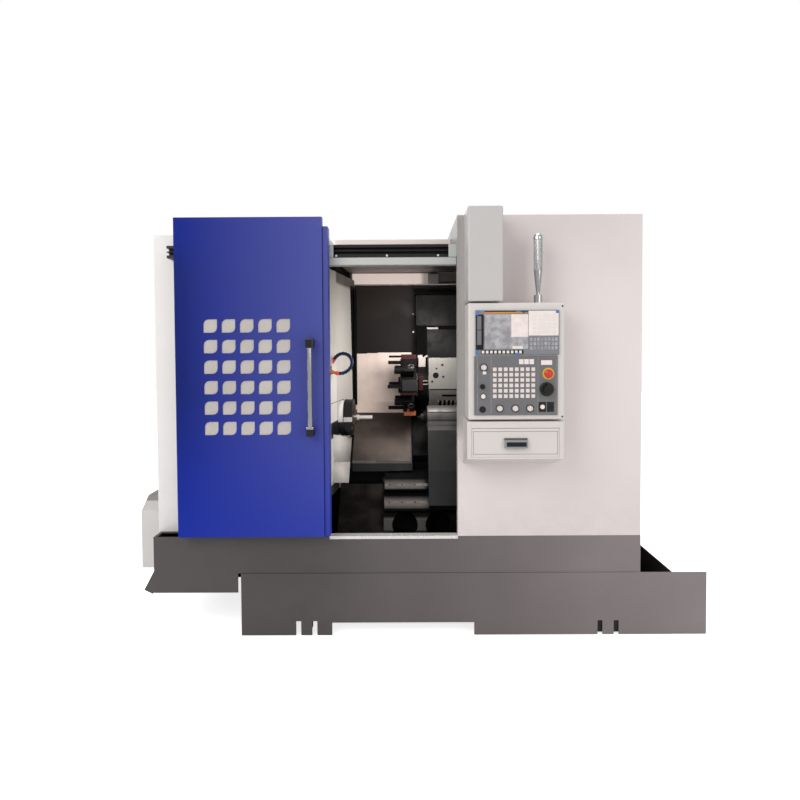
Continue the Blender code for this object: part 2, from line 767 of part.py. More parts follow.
def make_base():
    """Painted sheet base: front wall, sides and back, and a top plate with its openings."""
    skirt = sheet_box(
        "base_skirt",
        (BASE_LEFT, 0, BASE_LOW),
        (BASE_RIGHT, BASE_DEPTH, BASE_TOP),
        BASE_WALL,
        lambda middle, normal: normal.z > -ROOT_HALF,
    )
    above = BASE_TOP + OVERRUN
    below = BASE_TOP - BASE_WALL - OVERRUN
    guide = block(
        "guide_slot",
        (BASE_LEFT + BASE_WALL + OVERRUN, BASE_WALL, below),
        (OPENING_LEFT, BASE_WALL + GUIDE_SLOT_DEPTH, above),
    )
    well = block(
        "bed_well",
        (BASE_LEFT + WELL_INSET, LEFT_COVER_FRONT + OVERRUN * 2, below),
        (BASE_RIGHT - PAN_RIGHT_INSET + OVERRUN, BASE_DEPTH - WELL_BACK_INSET, above),
    )
    mouth = block(
        "chip_mouth",
        (PAN_LEFT_EDGE - OVERRUN, WELL_FRONT, below),
        (BASE_RIGHT - PAN_RIGHT_INSET + OVERRUN, WELL_INSET, above),
    )
    tank_room = block(
        "tank_room",
        (TANK_LEFT - TANK_CLEARANCE, -OVERRUN, BASE_LOW - OVERRUN),
        (BASE_RIGHT + OVERRUN, TANK_DEPTH + TANK_CLEARANCE * 2, TANK_TOP + GAP),
    )
    outer = BASE_LEFT - FLARE_REACH
    low = BASE_LOW + FLARE_DROP
    flare = prism(
        "side_flare",
        [
            [
                (BASE_LEFT + OVERLAP, low + FLARE_HEIGHT),
                (outer, low + OVERLAP * 3),
                (outer + FLARE_REACH - OVERLAP * 4, low - FLARE_PLATE / 2),
                (BASE_LEFT + OVERLAP, low),
            ]
        ],
        "XZ",
        0,
        FLARE_LENGTH,
    )
    carve(skirt, guide, well, mouth, tank_room)
    unite(skirt, flare)
    seat(skirt, "base_grey")


def make_bed():
    """Slanted casting with its ways, the slab that fills the base, and feet on pads."""
    upper_end = slope(BED_UPPER_END, BED_UPPER_FACE)
    upper_top = slope(BED_UPPER_TOP, BED_UPPER_FACE)
    foot = SLAB_TOP - OVERLAP
    back = upper_top[0] + BED_SHELF
    casting = prism(
        "bed_casting",
        [[(back, foot), (back, upper_top[1]), upper_top, upper_end, (upper_end[0], foot)]],
        "YZ",
        BED_LEFT,
        BED_RIGHT,
    )
    lower_end = (BED_FRONT, BED_FRONT_TOP)
    lower_start = slope(BED_UPPER_END - BED_SHELF, BED_LOWER_FACE)
    inside = upper_end[0] + BED_SHELF
    lower = prism(
        "lower_bed",
        [[(inside, foot), (inside, lower_start[1]), lower_start, lower_end, (BED_FRONT, foot)]],
        "YZ",
        BED_LOWER_LEFT,
        BED_RIGHT - OVERLAP,
    )
    slab_edge = BASE_WALL + GAP
    slab = block(
        "bed_slab",
        (BASE_LEFT + slab_edge, slab_edge, SLAB_LOW),
        (BASE_RIGHT - slab_edge, BASE_DEPTH - slab_edge, SLAB_TOP),
    )
    unite(casting, lower, slab)
    way_top = -COVER_SHEET - GAP
    for number, place in enumerate(Z_WAYS):
        corners = [
            slope(place - Z_WAY_WIDTH / 2, way_top),
            slope(place + Z_WAY_WIDTH / 2, way_top),
            slope(place + Z_WAY_WIDTH / 2, BED_UPPER_FACE - OVERLAP * 2),
            slope(place - Z_WAY_WIDTH / 2, BED_UPPER_FACE - OVERLAP * 2),
        ]
        way = prism(f"z_way_{number}", [corners], "YZ", COVER_LEFT, BED_RIGHT - OVERLAP * 2)
        unite(casting, way)
    for number, (place, width) in enumerate(TAIL_WAYS):
        corners = [
            slope(place, 0),
            slope(place + width, 0),
            slope(place + width, BED_LOWER_FACE - OVERLAP),
            slope(place, BED_LOWER_FACE - OVERLAP),
        ]
        way = prism(
            f"tail_way_{number}",
            [corners],
            "YZ",
            BED_LOWER_LEFT + OVERLAP * 2,
            BED_RIGHT - OVERLAP * 3,
        )
        unite(casting, way)
    for number, place in enumerate(ARCH_PLACES):
        arch = drum(
            f"arch_{number}",
            ARCH_RADIUS,
            (place, BED_FRONT - OVERRUN, ARCH_HEIGHT),
            (place, BED_FRONT + ARCH_DEPTH, ARCH_HEIGHT),
        )
        carve(casting, arch)
    add_feet(casting)
    seat(casting, "cast_iron")


def add_feet(casting):
    """Feet under the slab: two at its back corners and two half way along its ends."""
    left = BASE_LEFT + FOOT_SIDE_INSET
    right = BASE_RIGHT - FOOT_SIDE_INSET - FOOT_WIDTH
    back = BASE_DEPTH - FOOT_BACK_INSET - FOOT_DEPTH
    places = (
        (left, back),
        (right, back),
        (left, MIDDLE_FOOT_FRONT),
        (right, MIDDLE_FOOT_FRONT),
    )
    for number, (x, y) in enumerate(places):
        leg = block(
            f"foot_{number}",
            (x, y, PAD_HEIGHT - OVERLAP),
            (x + FOOT_WIDTH, y + FOOT_DEPTH, SLAB_LOW + OVERLAP),
        )
        middle = (x + FOOT_WIDTH / 2, y + FOOT_DEPTH / 2)
        pad = drum(f"pad_{number}", PAD_RADIUS, (*middle, 0), (*middle, PAD_HEIGHT), SMALL_SIDES)
        unite(casting, leg, pad)


def make_sill():
    """Bright angle over the base's front edge, across the opening."""
    top = STAND + SHEET
    front = -GAP - SHEET
    outline = [
        (front, BASE_TOP - SILL_LIP),
        (front, top),
        (SILL_DEPTH, top),
        (SILL_DEPTH, STAND),
        (-GAP, STAND),
        (-GAP, BASE_TOP - SILL_LIP),
    ]
    start = OPENING_LEFT + HEADER_LAP / 2
    sill = prism("door_sill", [outline], "YZ", start, OPENING_RIGHT - GAP)
    seat(sill, "bare_steel")


def make_covers():
    """Left cover, right cabinet, back and roof, all folded sheet."""
    left = sheet_box(
        "left_cover",
        (LEFT_COVER_LEFT, LEFT_COVER_FRONT, STAND),
        (OPENING_LEFT, BASE_DEPTH - GAP, LEFT_COVER_TOP),
        SHEET,
        lambda middle, normal: normal.y < -ROOT_HALF
        or normal.x < -ROOT_HALF
        or normal.z > ROOT_HALF
        or (
            normal.x > ROOT_HALF
            and (
                middle.y < LEFT_COVER_FRONT + LEFT_COVER_RETURN or middle.z > SIDE_STRIP_LOW
            )
        ),
        (
            ((0, LEFT_COVER_FRONT + LEFT_COVER_RETURN, 0), (0, 1, 0)),
            ((0, 0, SIDE_STRIP_LOW), (0, 0, 1)),
        ),
    )
    seat(left, "white_paint")
    right = sheet_box(
        "right_cabinet",
        (OPENING_RIGHT, 0, STAND),
        (BASE_RIGHT, BASE_DEPTH - GAP, CABINET_TOP),
        SHEET,
        lambda middle, normal: normal.y < -ROOT_HALF
        or normal.x > ROOT_HALF
        or normal.z > ROOT_HALF
        or (
            normal.x < -ROOT_HALF
            and (middle.y < CABINET_RETURN or middle.z > SIDE_STRIP_LOW)
        ),
        (
            ((0, CABINET_RETURN, 0), (0, 1, 0)),
            ((0, 0, SIDE_STRIP_LOW), (0, 0, 1)),
        ),
    )
    seat(right, "white_paint")
    outline = [
        (LEFT_COVER_LEFT, STAND),
        (BASE_RIGHT, STAND),
        (BASE_RIGHT, CABINET_TOP),
        (OPENING_RIGHT, CABINET_TOP),
        (OPENING_RIGHT, ROOF_TOP),
        (OPENING_LEFT, ROOF_TOP),
        (OPENING_LEFT, LEFT_COVER_TOP),
        (LEFT_COVER_LEFT, LEFT_COVER_TOP),
    ]
    rear = prism("rear_cover", [outline], "XZ", BASE_DEPTH, BASE_DEPTH + SHEET)
    seat(rear, "white_paint")
    roof_line = [
        (ROOF_FRONT, ROOF_TOP - ROOF_LIP),
        (ROOF_FRONT, ROOF_TOP),
        (BASE_DEPTH - GAP, ROOF_TOP),
    ]
    roof = folded(
        "roof_panel", roof_line, "YZ", OPENING_LEFT, OPENING_RIGHT - GAP, SHEET, side=1
    )
    seat(roof, "white_paint")


def make_header():
    """Beam across the opening, and the double track that the door hangs on."""
    back = LEFT_COVER_FRONT - GAP
    beam = block(
        "header_beam",
        (OPENING_LEFT - HEADER_LAP, HEADER_FRONT, HEADER_LOW),
        (OPENING_RIGHT - GAP, back, HEADER_TOP),
    )
    seat(soften(beam, SHEET, 1), "bare_steel")
    first = TRACK_LOW + TRACK_GROOVE
    second = TRACK_TOP - TRACK_GROOVE
    bottom = HEADER_FRONT + TRACK_GROOVE_DEPTH
    outline = [
        (HEADER_FRONT, TRACK_LOW),
        (HEADER_FRONT, first),
        (bottom, first),
        (bottom, first + TRACK_GROOVE),
        (HEADER_FRONT, first + TRACK_GROOVE),
        (HEADER_FRONT, second - TRACK_GROOVE),
        (bottom, second - TRACK_GROOVE),
        (bottom, second),
        (HEADER_FRONT, second),
        (HEADER_FRONT, TRACK_TOP),
        (back, TRACK_TOP),
        (back, TRACK_LOW),
    ]
    start = LEFT_COVER_LEFT + TRACK_LEFT_INSET
    track = prism("door_track", [outline], "YZ", start, OPENING_RIGHT - GAP)
    seat(track, "black")


def make_lining():
    """Stainless back wall, folded forward into the ceiling, and the work light on it."""
    line = [
        (LINING_BACK, LINING_LOW),
        (LINING_BACK, LINING_TOP),
        (LINING_FRONT, LINING_TOP - LINING_FALL),
    ]
    lining = folded(
        "back_lining",
        line,
        "YZ",
        OPENING_LEFT + GAP,
        BASE_RIGHT - LINING_RIGHT_INSET,
        SHEET / 2,
        side=1,
    )
    seat(lining, "brown_steel")
    top = LINING_TOP - LIGHT_DROP
    back = LINING_BACK - GAP - SHEET / 2
    light = block(
        "work_light",
        (LIGHT_LEFT, back - LIGHT_DEPTH, top - LIGHT_HEIGHT),
        (LIGHT_LEFT + LIGHT_LENGTH, back, top),
    )
    seat(soften(light, OVERLAP * 2), "knob_white")


def wall_x(depth):
    """Where the headstock wall's face stands at a depth in front of its fold."""
    share = (depth - WALL_FOLD_DEPTH) / (WALL_MIDDLE_DEPTH - WALL_FOLD_DEPTH)
    return WALL_FRONT_X + (WALL_MIDDLE_X - WALL_FRONT_X) * share


def make_headstock_wall():
    """Folded white wall around the spindle nose, cut to the bed's slope."""
    line = [
        (WALL_FRONT_X, LEFT_COVER_FRONT + GAP),
        (WALL_FRONT_X, WALL_FOLD_DEPTH),
        (WALL_MIDDLE_X, WALL_MIDDLE_DEPTH),
        (WALL_BACK_X, LINING_BACK - SHEET),
    ]
    wall = folded("headstock_wall", line, "XY", WALL_LOW, WALL_TOP, SHEET / 2, side=1)
    hole = drum(
        "nose_hole",
        WALL_HOLE,
        (WALL_FRONT_X - OVERRUN, AXIS_DEPTH, AXIS_HEIGHT),
        (WALL_MIDDLE_X + OVERRUN, AXIS_DEPTH, AXIS_HEIGHT),
        FINE_SIDES,
    )
    clear = COVER_STEP * 3
    over_cover = slope(COVER_UP - OVERRUN, clear)
    over_bed = slope(BED_UPPER_TOP, 0)[1] + WALL_BED_CLEARANCE
    bed_side = prism(
        "bed_side",
        [
            [
                over_cover,
                slope(COVER_DOWN + BED_SHELF * 2, clear),
                (BED_FRONT, WALL_LOW - OVERRUN),
                (LINING_BACK + OVERRUN, WALL_LOW - OVERRUN),
                (LINING_BACK + OVERRUN, over_bed),
                (over_cover[0], over_bed),
            ]
        ],
        "YZ",
        WALL_FRONT_X - OVERRUN * 2,
        WALL_MIDDLE_X + OVERRUN * 2,
    )
    carve(wall, hole, bed_side)
    seat(wall, "white_paint")


def make_headstock():
    """Cast housing on the bed that the spindle runs in."""
    seat_out = BED_UPPER_FACE + GAP
    lower = slope(BED_UPPER_END - OVERRUN, seat_out)
    upper = slope(HEADSTOCK_UP, seat_out)
    front = AXIS_DEPTH - HEADSTOCK_OVERHANG
    top = AXIS_HEIGHT + HEADSTOCK_RISE
    outline = [
        upper,
        lower,
        (front + HEADSTOCK_SHOULDER, AXIS_HEIGHT - HEADSTOCK_DROP),
        (front, AXIS_HEIGHT - HEADSTOCK_SHOULDER),
        (front, top - HEADSTOCK_SHOULDER),
        (front + HEADSTOCK_SHOULDER, top),
        (upper[0] - HEADSTOCK_SHOULDER, top),
        (upper[0], top - HEADSTOCK_SHOULDER),
    ]
    housing = prism("headstock", [outline], "YZ", HEADSTOCK_LEFT, HEADSTOCK_FACE)
    bore = drum(
        "spindle_bore",
        SPINDLE_RADIUS + GAP,
        (HEADSTOCK_LEFT - OVERRUN, AXIS_DEPTH, AXIS_HEIGHT),
        (HEADSTOCK_FACE + OVERRUN, AXIS_DEPTH, AXIS_HEIGHT),
        FINE_SIDES,
    )
    seat(carve(housing, bore), "cast_iron")


def make_motor_cover():
    """Hipped sheet box at the left end, over the spindle drive."""
    back = MOTOR_COVER_FRONT + MOTOR_COVER_DEPTH
    box = block(
        "motor_cover",
        (MOTOR_COVER_LEFT, MOTOR_COVER_FRONT, MOTOR_COVER_LOW),
        (MOTOR_COVER_RIGHT, back, MOTOR_COVER_TOP),
    )
    side_hip = prism(
        "side_hip",
        [
            [
                (MOTOR_COVER_LEFT, MOTOR_COVER_SHOULDER),
                (MOTOR_COVER_LEFT + MOTOR_COVER_HIP_SIDE, MOTOR_COVER_TOP),
                (MOTOR_COVER_LEFT + MOTOR_COVER_HIP_SIDE, MOTOR_COVER_TOP + OVERRUN),
                (MOTOR_COVER_LEFT - OVERRUN, MOTOR_COVER_TOP + OVERRUN),
                (MOTOR_COVER_LEFT - OVERRUN, MOTOR_COVER_SHOULDER),
            ]
        ],
        "XZ",
        MOTOR_COVER_FRONT - OVERRUN,
        back + OVERRUN,
    )
    front_hip = prism(
        "front_hip",
        [
            [
                (MOTOR_COVER_FRONT, MOTOR_COVER_SHOULDER),
                (MOTOR_COVER_FRONT + MOTOR_COVER_HIP_FRONT, MOTOR_COVER_TOP),
                (MOTOR_COVER_FRONT + MOTOR_COVER_HIP_FRONT, MOTOR_COVER_TOP + OVERRUN),
                (MOTOR_COVER_FRONT - OVERRUN, MOTOR_COVER_TOP + OVERRUN),
                (MOTOR_COVER_FRONT - OVERRUN, MOTOR_COVER_SHOULDER),
            ]
        ],
        "YZ",
        MOTOR_COVER_LEFT - OVERRUN,
        MOTOR_COVER_RIGHT + OVERRUN,
    )
    seat(carve(box, side_hip, front_hip), "white_paint")


def make_chip_pan():
    """Dark sheet pan in front of the bed, rising to the left under the cover's skirt."""
    front = WELL_FRONT + GAP
    trough_line = [
        (front, BASE_TOP),
        (front, PAN_BOTTOM),
        (BED_FRONT - GAP, PAN_BOTTOM),
    ]
    right = BASE_RIGHT - PAN_RIGHT_INSET
    trough = folded("chip_pan", trough_line, "YZ", PAN_LEFT_EDGE, right, SHEET / 2, side=1)
    slope_line = [
        (BED_FRONT - PAN_LAP, PAN_BOTTOM),
        (BED_FRONT - OVERLAP * 2, PAN_BOTTOM),
        (PAN_SLOPE_DEPTH, PAN_SLOPE_TOP),
    ]
    ramp = folded(
        "pan_ramp",
        slope_line,
        "YZ",
        PAN_LEFT_EDGE,
        BED_LOWER_LEFT - GAP,
        SHEET / 2,
        side=1,
    )
    seat(unite(trough, ramp), "black")


def make_tank():
    """Coolant tank: basin with a raised floor, longer notched front apron, and two rollers."""
    middle_x = (TANK_LEFT + APRON_RIGHT) / 2
    tank_body = new_body("tank", (middle_x, -TANK_PROUD, TANK_GROUND), MACHINE)
    front = -TANK_PROUD
    back = front + TANK_DEPTH
    walls = sheet_box(
        "coolant_tank",
        (TANK_LEFT, front, TANK_GROUND),
        (BASIN_RIGHT, back, TANK_TOP),
        TANK_WALL,
        lambda middle, normal: abs(normal.z) < ROOT_HALF,
    )
    floor = block(
        "tank_floor",
        (TANK_LEFT + OVERLAP, front + OVERLAP, TANK_FLOOR),
        (BASIN_RIGHT - OVERLAP, back - OVERLAP, TANK_FLOOR + TANK_WALL),
    )
    apron = block(
        "tank_apron",
        (BASIN_RIGHT - OVERLAP, front, TANK_GROUND),
        (APRON_RIGHT, front + TANK_WALL, TANK_TOP),
    )
    unite(walls, floor, apron)
    notch = block(
        "apron_notch",
        (NOTCH_LEFT, front - OVERRUN, -OVERRUN),
        (NOTCH_LEFT + NOTCH_WIDTH, front + TANK_WALL + OVERRUN, NOTCH_TOP),
    )
    carve(walls, notch)
    for number, place in enumerate(ROLLER_PLACES):
        for side in (-1, 1):
            middle = place + side * (SLOT_TONGUE + SLOT_WIDTH) / 2
            slot = block(
                f"apron_slot_{number}_{side}",
                (middle - SLOT_WIDTH / 2, front - OVERRUN, -OVERRUN),
                (middle + SLOT_WIDTH / 2, front + TANK_WALL + OVERRUN, SLOT_TOP),
            )
            carve(walls, slot)
            inner = side * (ROLLER_WIDTH / 2 + GAP)
            outer = side * (ROLLER_WIDTH / 2 + GAP + ROLLER_EAR)
            ear = block(
                f"roller_ear_{number}_{side}",
                (place + min(inner, outer), ROLLER_DEPTH - ROLLER_RADIUS / 2, ROLLER_RADIUS / 2),
                (
                    place + max(inner, outer),
                    ROLLER_DEPTH + ROLLER_RADIUS / 2,
                    TANK_FLOOR + OVERLAP,
                ),
            )
            unite(walls, ear)
        pin = drum(
            f"roller_pin_{number}",
            ROLLER_BORE - GAP,
            (place - ROLLER_WIDTH / 2 - ROLLER_EAR, ROLLER_DEPTH, ROLLER_RADIUS),
            (place + ROLLER_WIDTH / 2 + ROLLER_EAR, ROLLER_DEPTH, ROLLER_RADIUS),
            SMALL_SIDES,
        )
        unite(walls, pin)
    seat(walls, "base_grey", tank_body)
    for name, place in zip(("left", "right"), ROLLER_PLACES):
        middle = (place, ROLLER_DEPTH, ROLLER_RADIUS)
        body = new_body(f"roller_{name}", middle, tank_body)
        half = ROLLER_WIDTH / 2
        profile = [
            (ROLLER_BORE, half),
            (ROLLER_RADIUS, half),
            (ROLLER_RADIUS, -half),
            (ROLLER_BORE, -half),
        ]
        roller = turned(f"tank_roller_{name}", profile, middle, (1, 0, 0), ROUND_SIDES)
        seat(roller, "black", body)


def make_spindle():
    """Spindle, three-jaw chuck and the stepped bar that it holds."""
    axis = (HEADSTOCK_FACE, AXIS_DEPTH, AXIS_HEIGHT)
    spindle_body = new_body("spindle_line", axis, MACHINE)
    length = HEADSTOCK_FACE - HEADSTOCK_LEFT + SPINDLE_TAIL
    nose = GAP + NOSE_LENGTH
    profile = [
        (SPINDLE_BORE, nose),
        (NOSE_RADIUS, nose),
        (NOSE_RADIUS, GAP),
        (SPINDLE_RADIUS, GAP),
        (SPINDLE_RADIUS, -length),
        (SPINDLE_BORE, -length),
    ]
    seat(turned("spindle", profile, axis, (1, 0, 0), FINE_SIDES), "bare_steel", spindle_body)
    chuck_start = (CHUCK_BACK, AXIS_DEPTH, AXIS_HEIGHT)
    profile = [
        (CHUCK_BORE, CHUCK_LENGTH),
        (CHUCK_RADIUS - CHUCK_EDGE, CHUCK_LENGTH),
        (CHUCK_RADIUS, CHUCK_LENGTH - CHUCK_EDGE),
        (CHUCK_RADIUS, 0),
        (CHUCK_BORE, 0),
    ]
    chuck = turned("chuck_body", profile, chuck_start, (1, 0, 0), FINE_SIDES)
    for number in range(JAW_COUNT):
        slot = block(
            f"jaw_slot_{number}",
            (CHUCK_FACE - JAW_SLOT - GAP, AXIS_DEPTH - JAW_WIDTH / 2 - GAP, AXIS_HEIGHT),
            (
                CHUCK_FACE + OVERRUN,
                AXIS_DEPTH + JAW_WIDTH / 2 + GAP,
                AXIS_HEIGHT + CHUCK_RADIUS + OVERRUN,
            ),
        )
        carve(chuck, turned_about(slot, axis, (1, 0, 0), math.tau * number / JAW_COUNT))
    seat(chuck, "cast_iron", spindle_body)
    make_jaws(spindle_body, axis)
    bar_start = CHUCK_FACE - BAR_TAIL
    profile = [
        (0, BAR_TAIL + BAR_END),
        (BAR_THIN_RADIUS - BAR_THIN_RADIUS / 8, BAR_TAIL + BAR_END),
        (BAR_THIN_RADIUS, BAR_TAIL + BAR_END - BAR_THIN_RADIUS / 8),
        (BAR_THIN_RADIUS, BAR_TAIL + BAR_STEP),
        (BAR_RADIUS, BAR_TAIL + BAR_STEP),
        (BAR_RADIUS, 0),
        (0, 0),
    ]
    bar = turned("test_bar", profile, (bar_start, AXIS_DEPTH, AXIS_HEIGHT), (1, 0, 0))
    seat(bar, "bare_steel", spindle_body)


def make_jaws(spindle_body, axis):
    """Stepped jaws, each in its slot of the chuck and gripping the bar."""
    root = CHUCK_FACE - JAW_SLOT
    inner = BAR_RADIUS + GAP
    tip = CHUCK_FACE + JAW_REACH
    outline = [
        (root, inner),
        (tip, inner),
        (tip, JAW_TIP_OUTER),
        (tip - JAW_STEP, JAW_TIP_OUTER),
        (tip - JAW_STEP, JAW_STEP_OUTER),
        (CHUCK_FACE + GAP, JAW_STEP_OUTER),
        (CHUCK_FACE + GAP, JAW_OUTER),
        (root, JAW_OUTER),
    ]
    outline = [(x, AXIS_HEIGHT + radius) for x, radius in outline]
    for number in range(JAW_COUNT):
        body = new_body(f"jaw_{number + 1}", axis, spindle_body)
        jaw = prism(
            f"chuck_jaw_{number + 1}",
            [outline],
            "XZ",
            AXIS_DEPTH - JAW_WIDTH / 2,
            AXIS_DEPTH + JAW_WIDTH / 2,
        )
        turned_about(jaw, axis, (1, 0, 0), math.tau * number / JAW_COUNT)
        seat(jaw, "bare_steel", body)


def make_way_covers():
    """Three telescopic sheets over the bed: one fixed, one half way, one on the saddle."""
    last = SADDLE_LEFT - GAP - COVER_LENGTH
    middle = (COVER_LEFT + last) / 2
    moving = new_body("cover_link", (middle, *slope(0, 0)), MACHINE)
    bodies = (MACHINE, moving, bpy.data.objects["carriage"])
    names = ("z_cover_fixed", "z_cover_middle", "z_cover_moving")
    for layer, (name, start, body) in enumerate(zip(names, (COVER_LEFT, middle, last), bodies)):
        lift = layer * COVER_STEP
        top = slope(COVER_UP, lift)
        bottom = slope(COVER_DOWN, lift)
        line = [
            (top[0], COVER_GUARD_TOP + lift),
            top,
            bottom,
            (bottom[0], bottom[1] - COVER_SKIRT),
        ]
        cover = folded(name, line, "YZ", start, start + COVER_LENGTH, COVER_SHEET, side=-1)
        seat(cover, "brown_steel", body)


def make_saddle():
    """Saddle on the Z ways, its shelf, and the stepped cover over the cross drive."""
    seat_place = (SADDLE_LEFT, *slope(0, 0))
    carriage = new_body("carriage", seat_place, MACHINE)
    under = -COVER_SHEET
    corners = [
        slope(SADDLE_UP, under),
        slope(SADDLE_DOWN, under),
        slope(SADDLE_DOWN, under + SADDLE_THICK),
        slope(SADDLE_UP, under + SADDLE_THICK),
    ]
    right = SADDLE_LEFT + SADDLE_LENGTH
    saddle = prism("saddle", [corners], "YZ", SADDLE_LEFT, right)
    shelf_top = slope(SADDLE_UP, under + SADDLE_THICK)[1]
    shelf = block(
        "drive_shelf",
        (DRIVE_COVER_LEFT, SHELF_FRONT, shelf_top - SHELF_THICK),
        (right - OVERLAP, SHELF_BACK, shelf_top),
    )
    seat(unite(saddle, shelf), "cast_iron", carriage)
    low = shelf_top + GAP
    step = DRIVE_COVER_TOP - DRIVE_COVER_STEP_DROP
    outline = [
        (DRIVE_COVER_LEFT + DRIVE_COVER_STEP, low),
        (right, low),
        (right, DRIVE_COVER_TOP),
        (DRIVE_COVER_LEFT, DRIVE_COVER_TOP),
        (DRIVE_COVER_LEFT, step),
        (DRIVE_COVER_LEFT + DRIVE_COVER_STEP, step),
    ]
    cover = prism("x_drive_cover", [outline], "XZ", DRIVE_COVER_FRONT, SHELF_BACK)
    seat(soften(cover, OVERLAP, 1), "black", carriage)
    return carriage


def make_cross_slide(carriage):
    """Cross slide on the saddle, with the turret's housing and neck."""
    low = -COVER_SHEET + SADDLE_THICK + GAP
    high = low + CROSS_THICK
    centre = slope(-TURRET_UP, AXIS_OVER_BED)
    cross_body = new_body("cross_slide_body", (HOUSING_LEFT, *centre), carriage)
    corners = [
        slope(CROSS_UP, low),
        slope(CROSS_DOWN, low),
        slope(CROSS_DOWN, high),
        slope(CROSS_UP, high),
    ]
    slide = prism("cross_slide", [corners], "YZ", CROSS_LEFT, CROSS_LEFT + CROSS_LENGTH)
    seat(slide, "cast_iron", cross_body)
    up = -TURRET_UP - HOUSING_HALF
    down = -TURRET_UP + HOUSING_HALF
    outline = [
        slope(up, high + GAP),
        slope(down, high + GAP),
        slope(down, HOUSING_OUT - HOUSING_CHAMFER),
        slope(down - HOUSING_CHAMFER, HOUSING_OUT),
        slope(up + HOUSING_CHAMFER, HOUSING_OUT),
        slope(up, HOUSING_OUT - HOUSING_CHAMFER),
    ]
    right = HOUSING_LEFT + HOUSING_LENGTH
    housing = prism("turret_housing", [outline], "YZ", HOUSING_LEFT, right)
    neck = drum(
        "turret_neck",
        NECK_RADIUS,
        (DISC_LEFT + DISC_THICK + GAP, *centre),
        (HOUSING_LEFT + OVERRUN, *centre),
        FINE_SIDES,
    )
    seat(unite(housing, neck), "panel_grey", cross_body)
    return cross_body, centre


def make_turret(cross_body, centre):
    """Eight-sided tool disc with its holders, four for turning tools and four for bars."""
    axis = (DISC_LEFT, *centre)
    body = new_body("turret", axis, cross_body)
    right = DISC_LEFT + DISC_THICK
    disc = drum(
        "turret_disc",
        DISC_FLAT / math.cos(math.pi / STATIONS),
        (DISC_LEFT, *centre),
        (right, *centre),
        STATIONS,
    )
    turned_about(disc, axis, (1, 0, 0), math.pi / STATIONS)
    hub = drum(
        "turret_hub",
        HUB_RADIUS,
        (DISC_LEFT - HUB_PROUD, *centre),
        (DISC_LEFT + OVERRUN, *centre),
    )
    unite(disc, hub)
    y, z = centre
    foot = z + DISC_FLAT - OVERLAP
    head = z + DISC_FLAT + HOLDER_REACH
    for number in range(STATIONS):
        angle = math.tau * number / STATIONS
        holder = block(
            f"holder_{number}",
            (DISC_LEFT + HOLDER_SIDE, y - HOLDER_WIDTH / 2, foot),
            (right - HOLDER_SIDE, y + HOLDER_WIDTH / 2, head),
        )
        middle = (foot + head) / 2
        if number % 2 == 0:
            tool = block(
                f"shank_{number}",
                (DISC_LEFT - SHANK_LENGTH, y - SHANK_SIZE / 2, head - SHANK_SIZE - SHANK_INSET),
                (DISC_LEFT + HOLDER_SIDE * 2, y + SHANK_SIZE / 2, head - SHANK_INSET),
            )
        else:
            tool = drum(
                f"bar_{number}",
                BORING_RADIUS,
                (DISC_LEFT - BORING_LENGTH, y, middle),
                (DISC_LEFT + HOLDER_SIDE * 2, y, middle),
                SMALL_SIDES,
            )
        turned_about(holder, axis, (1, 0, 0), angle)
        turned_about(tool, axis, (1, 0, 0), angle)
        unite(disc, holder, tool)
    seat(disc, "black", body)


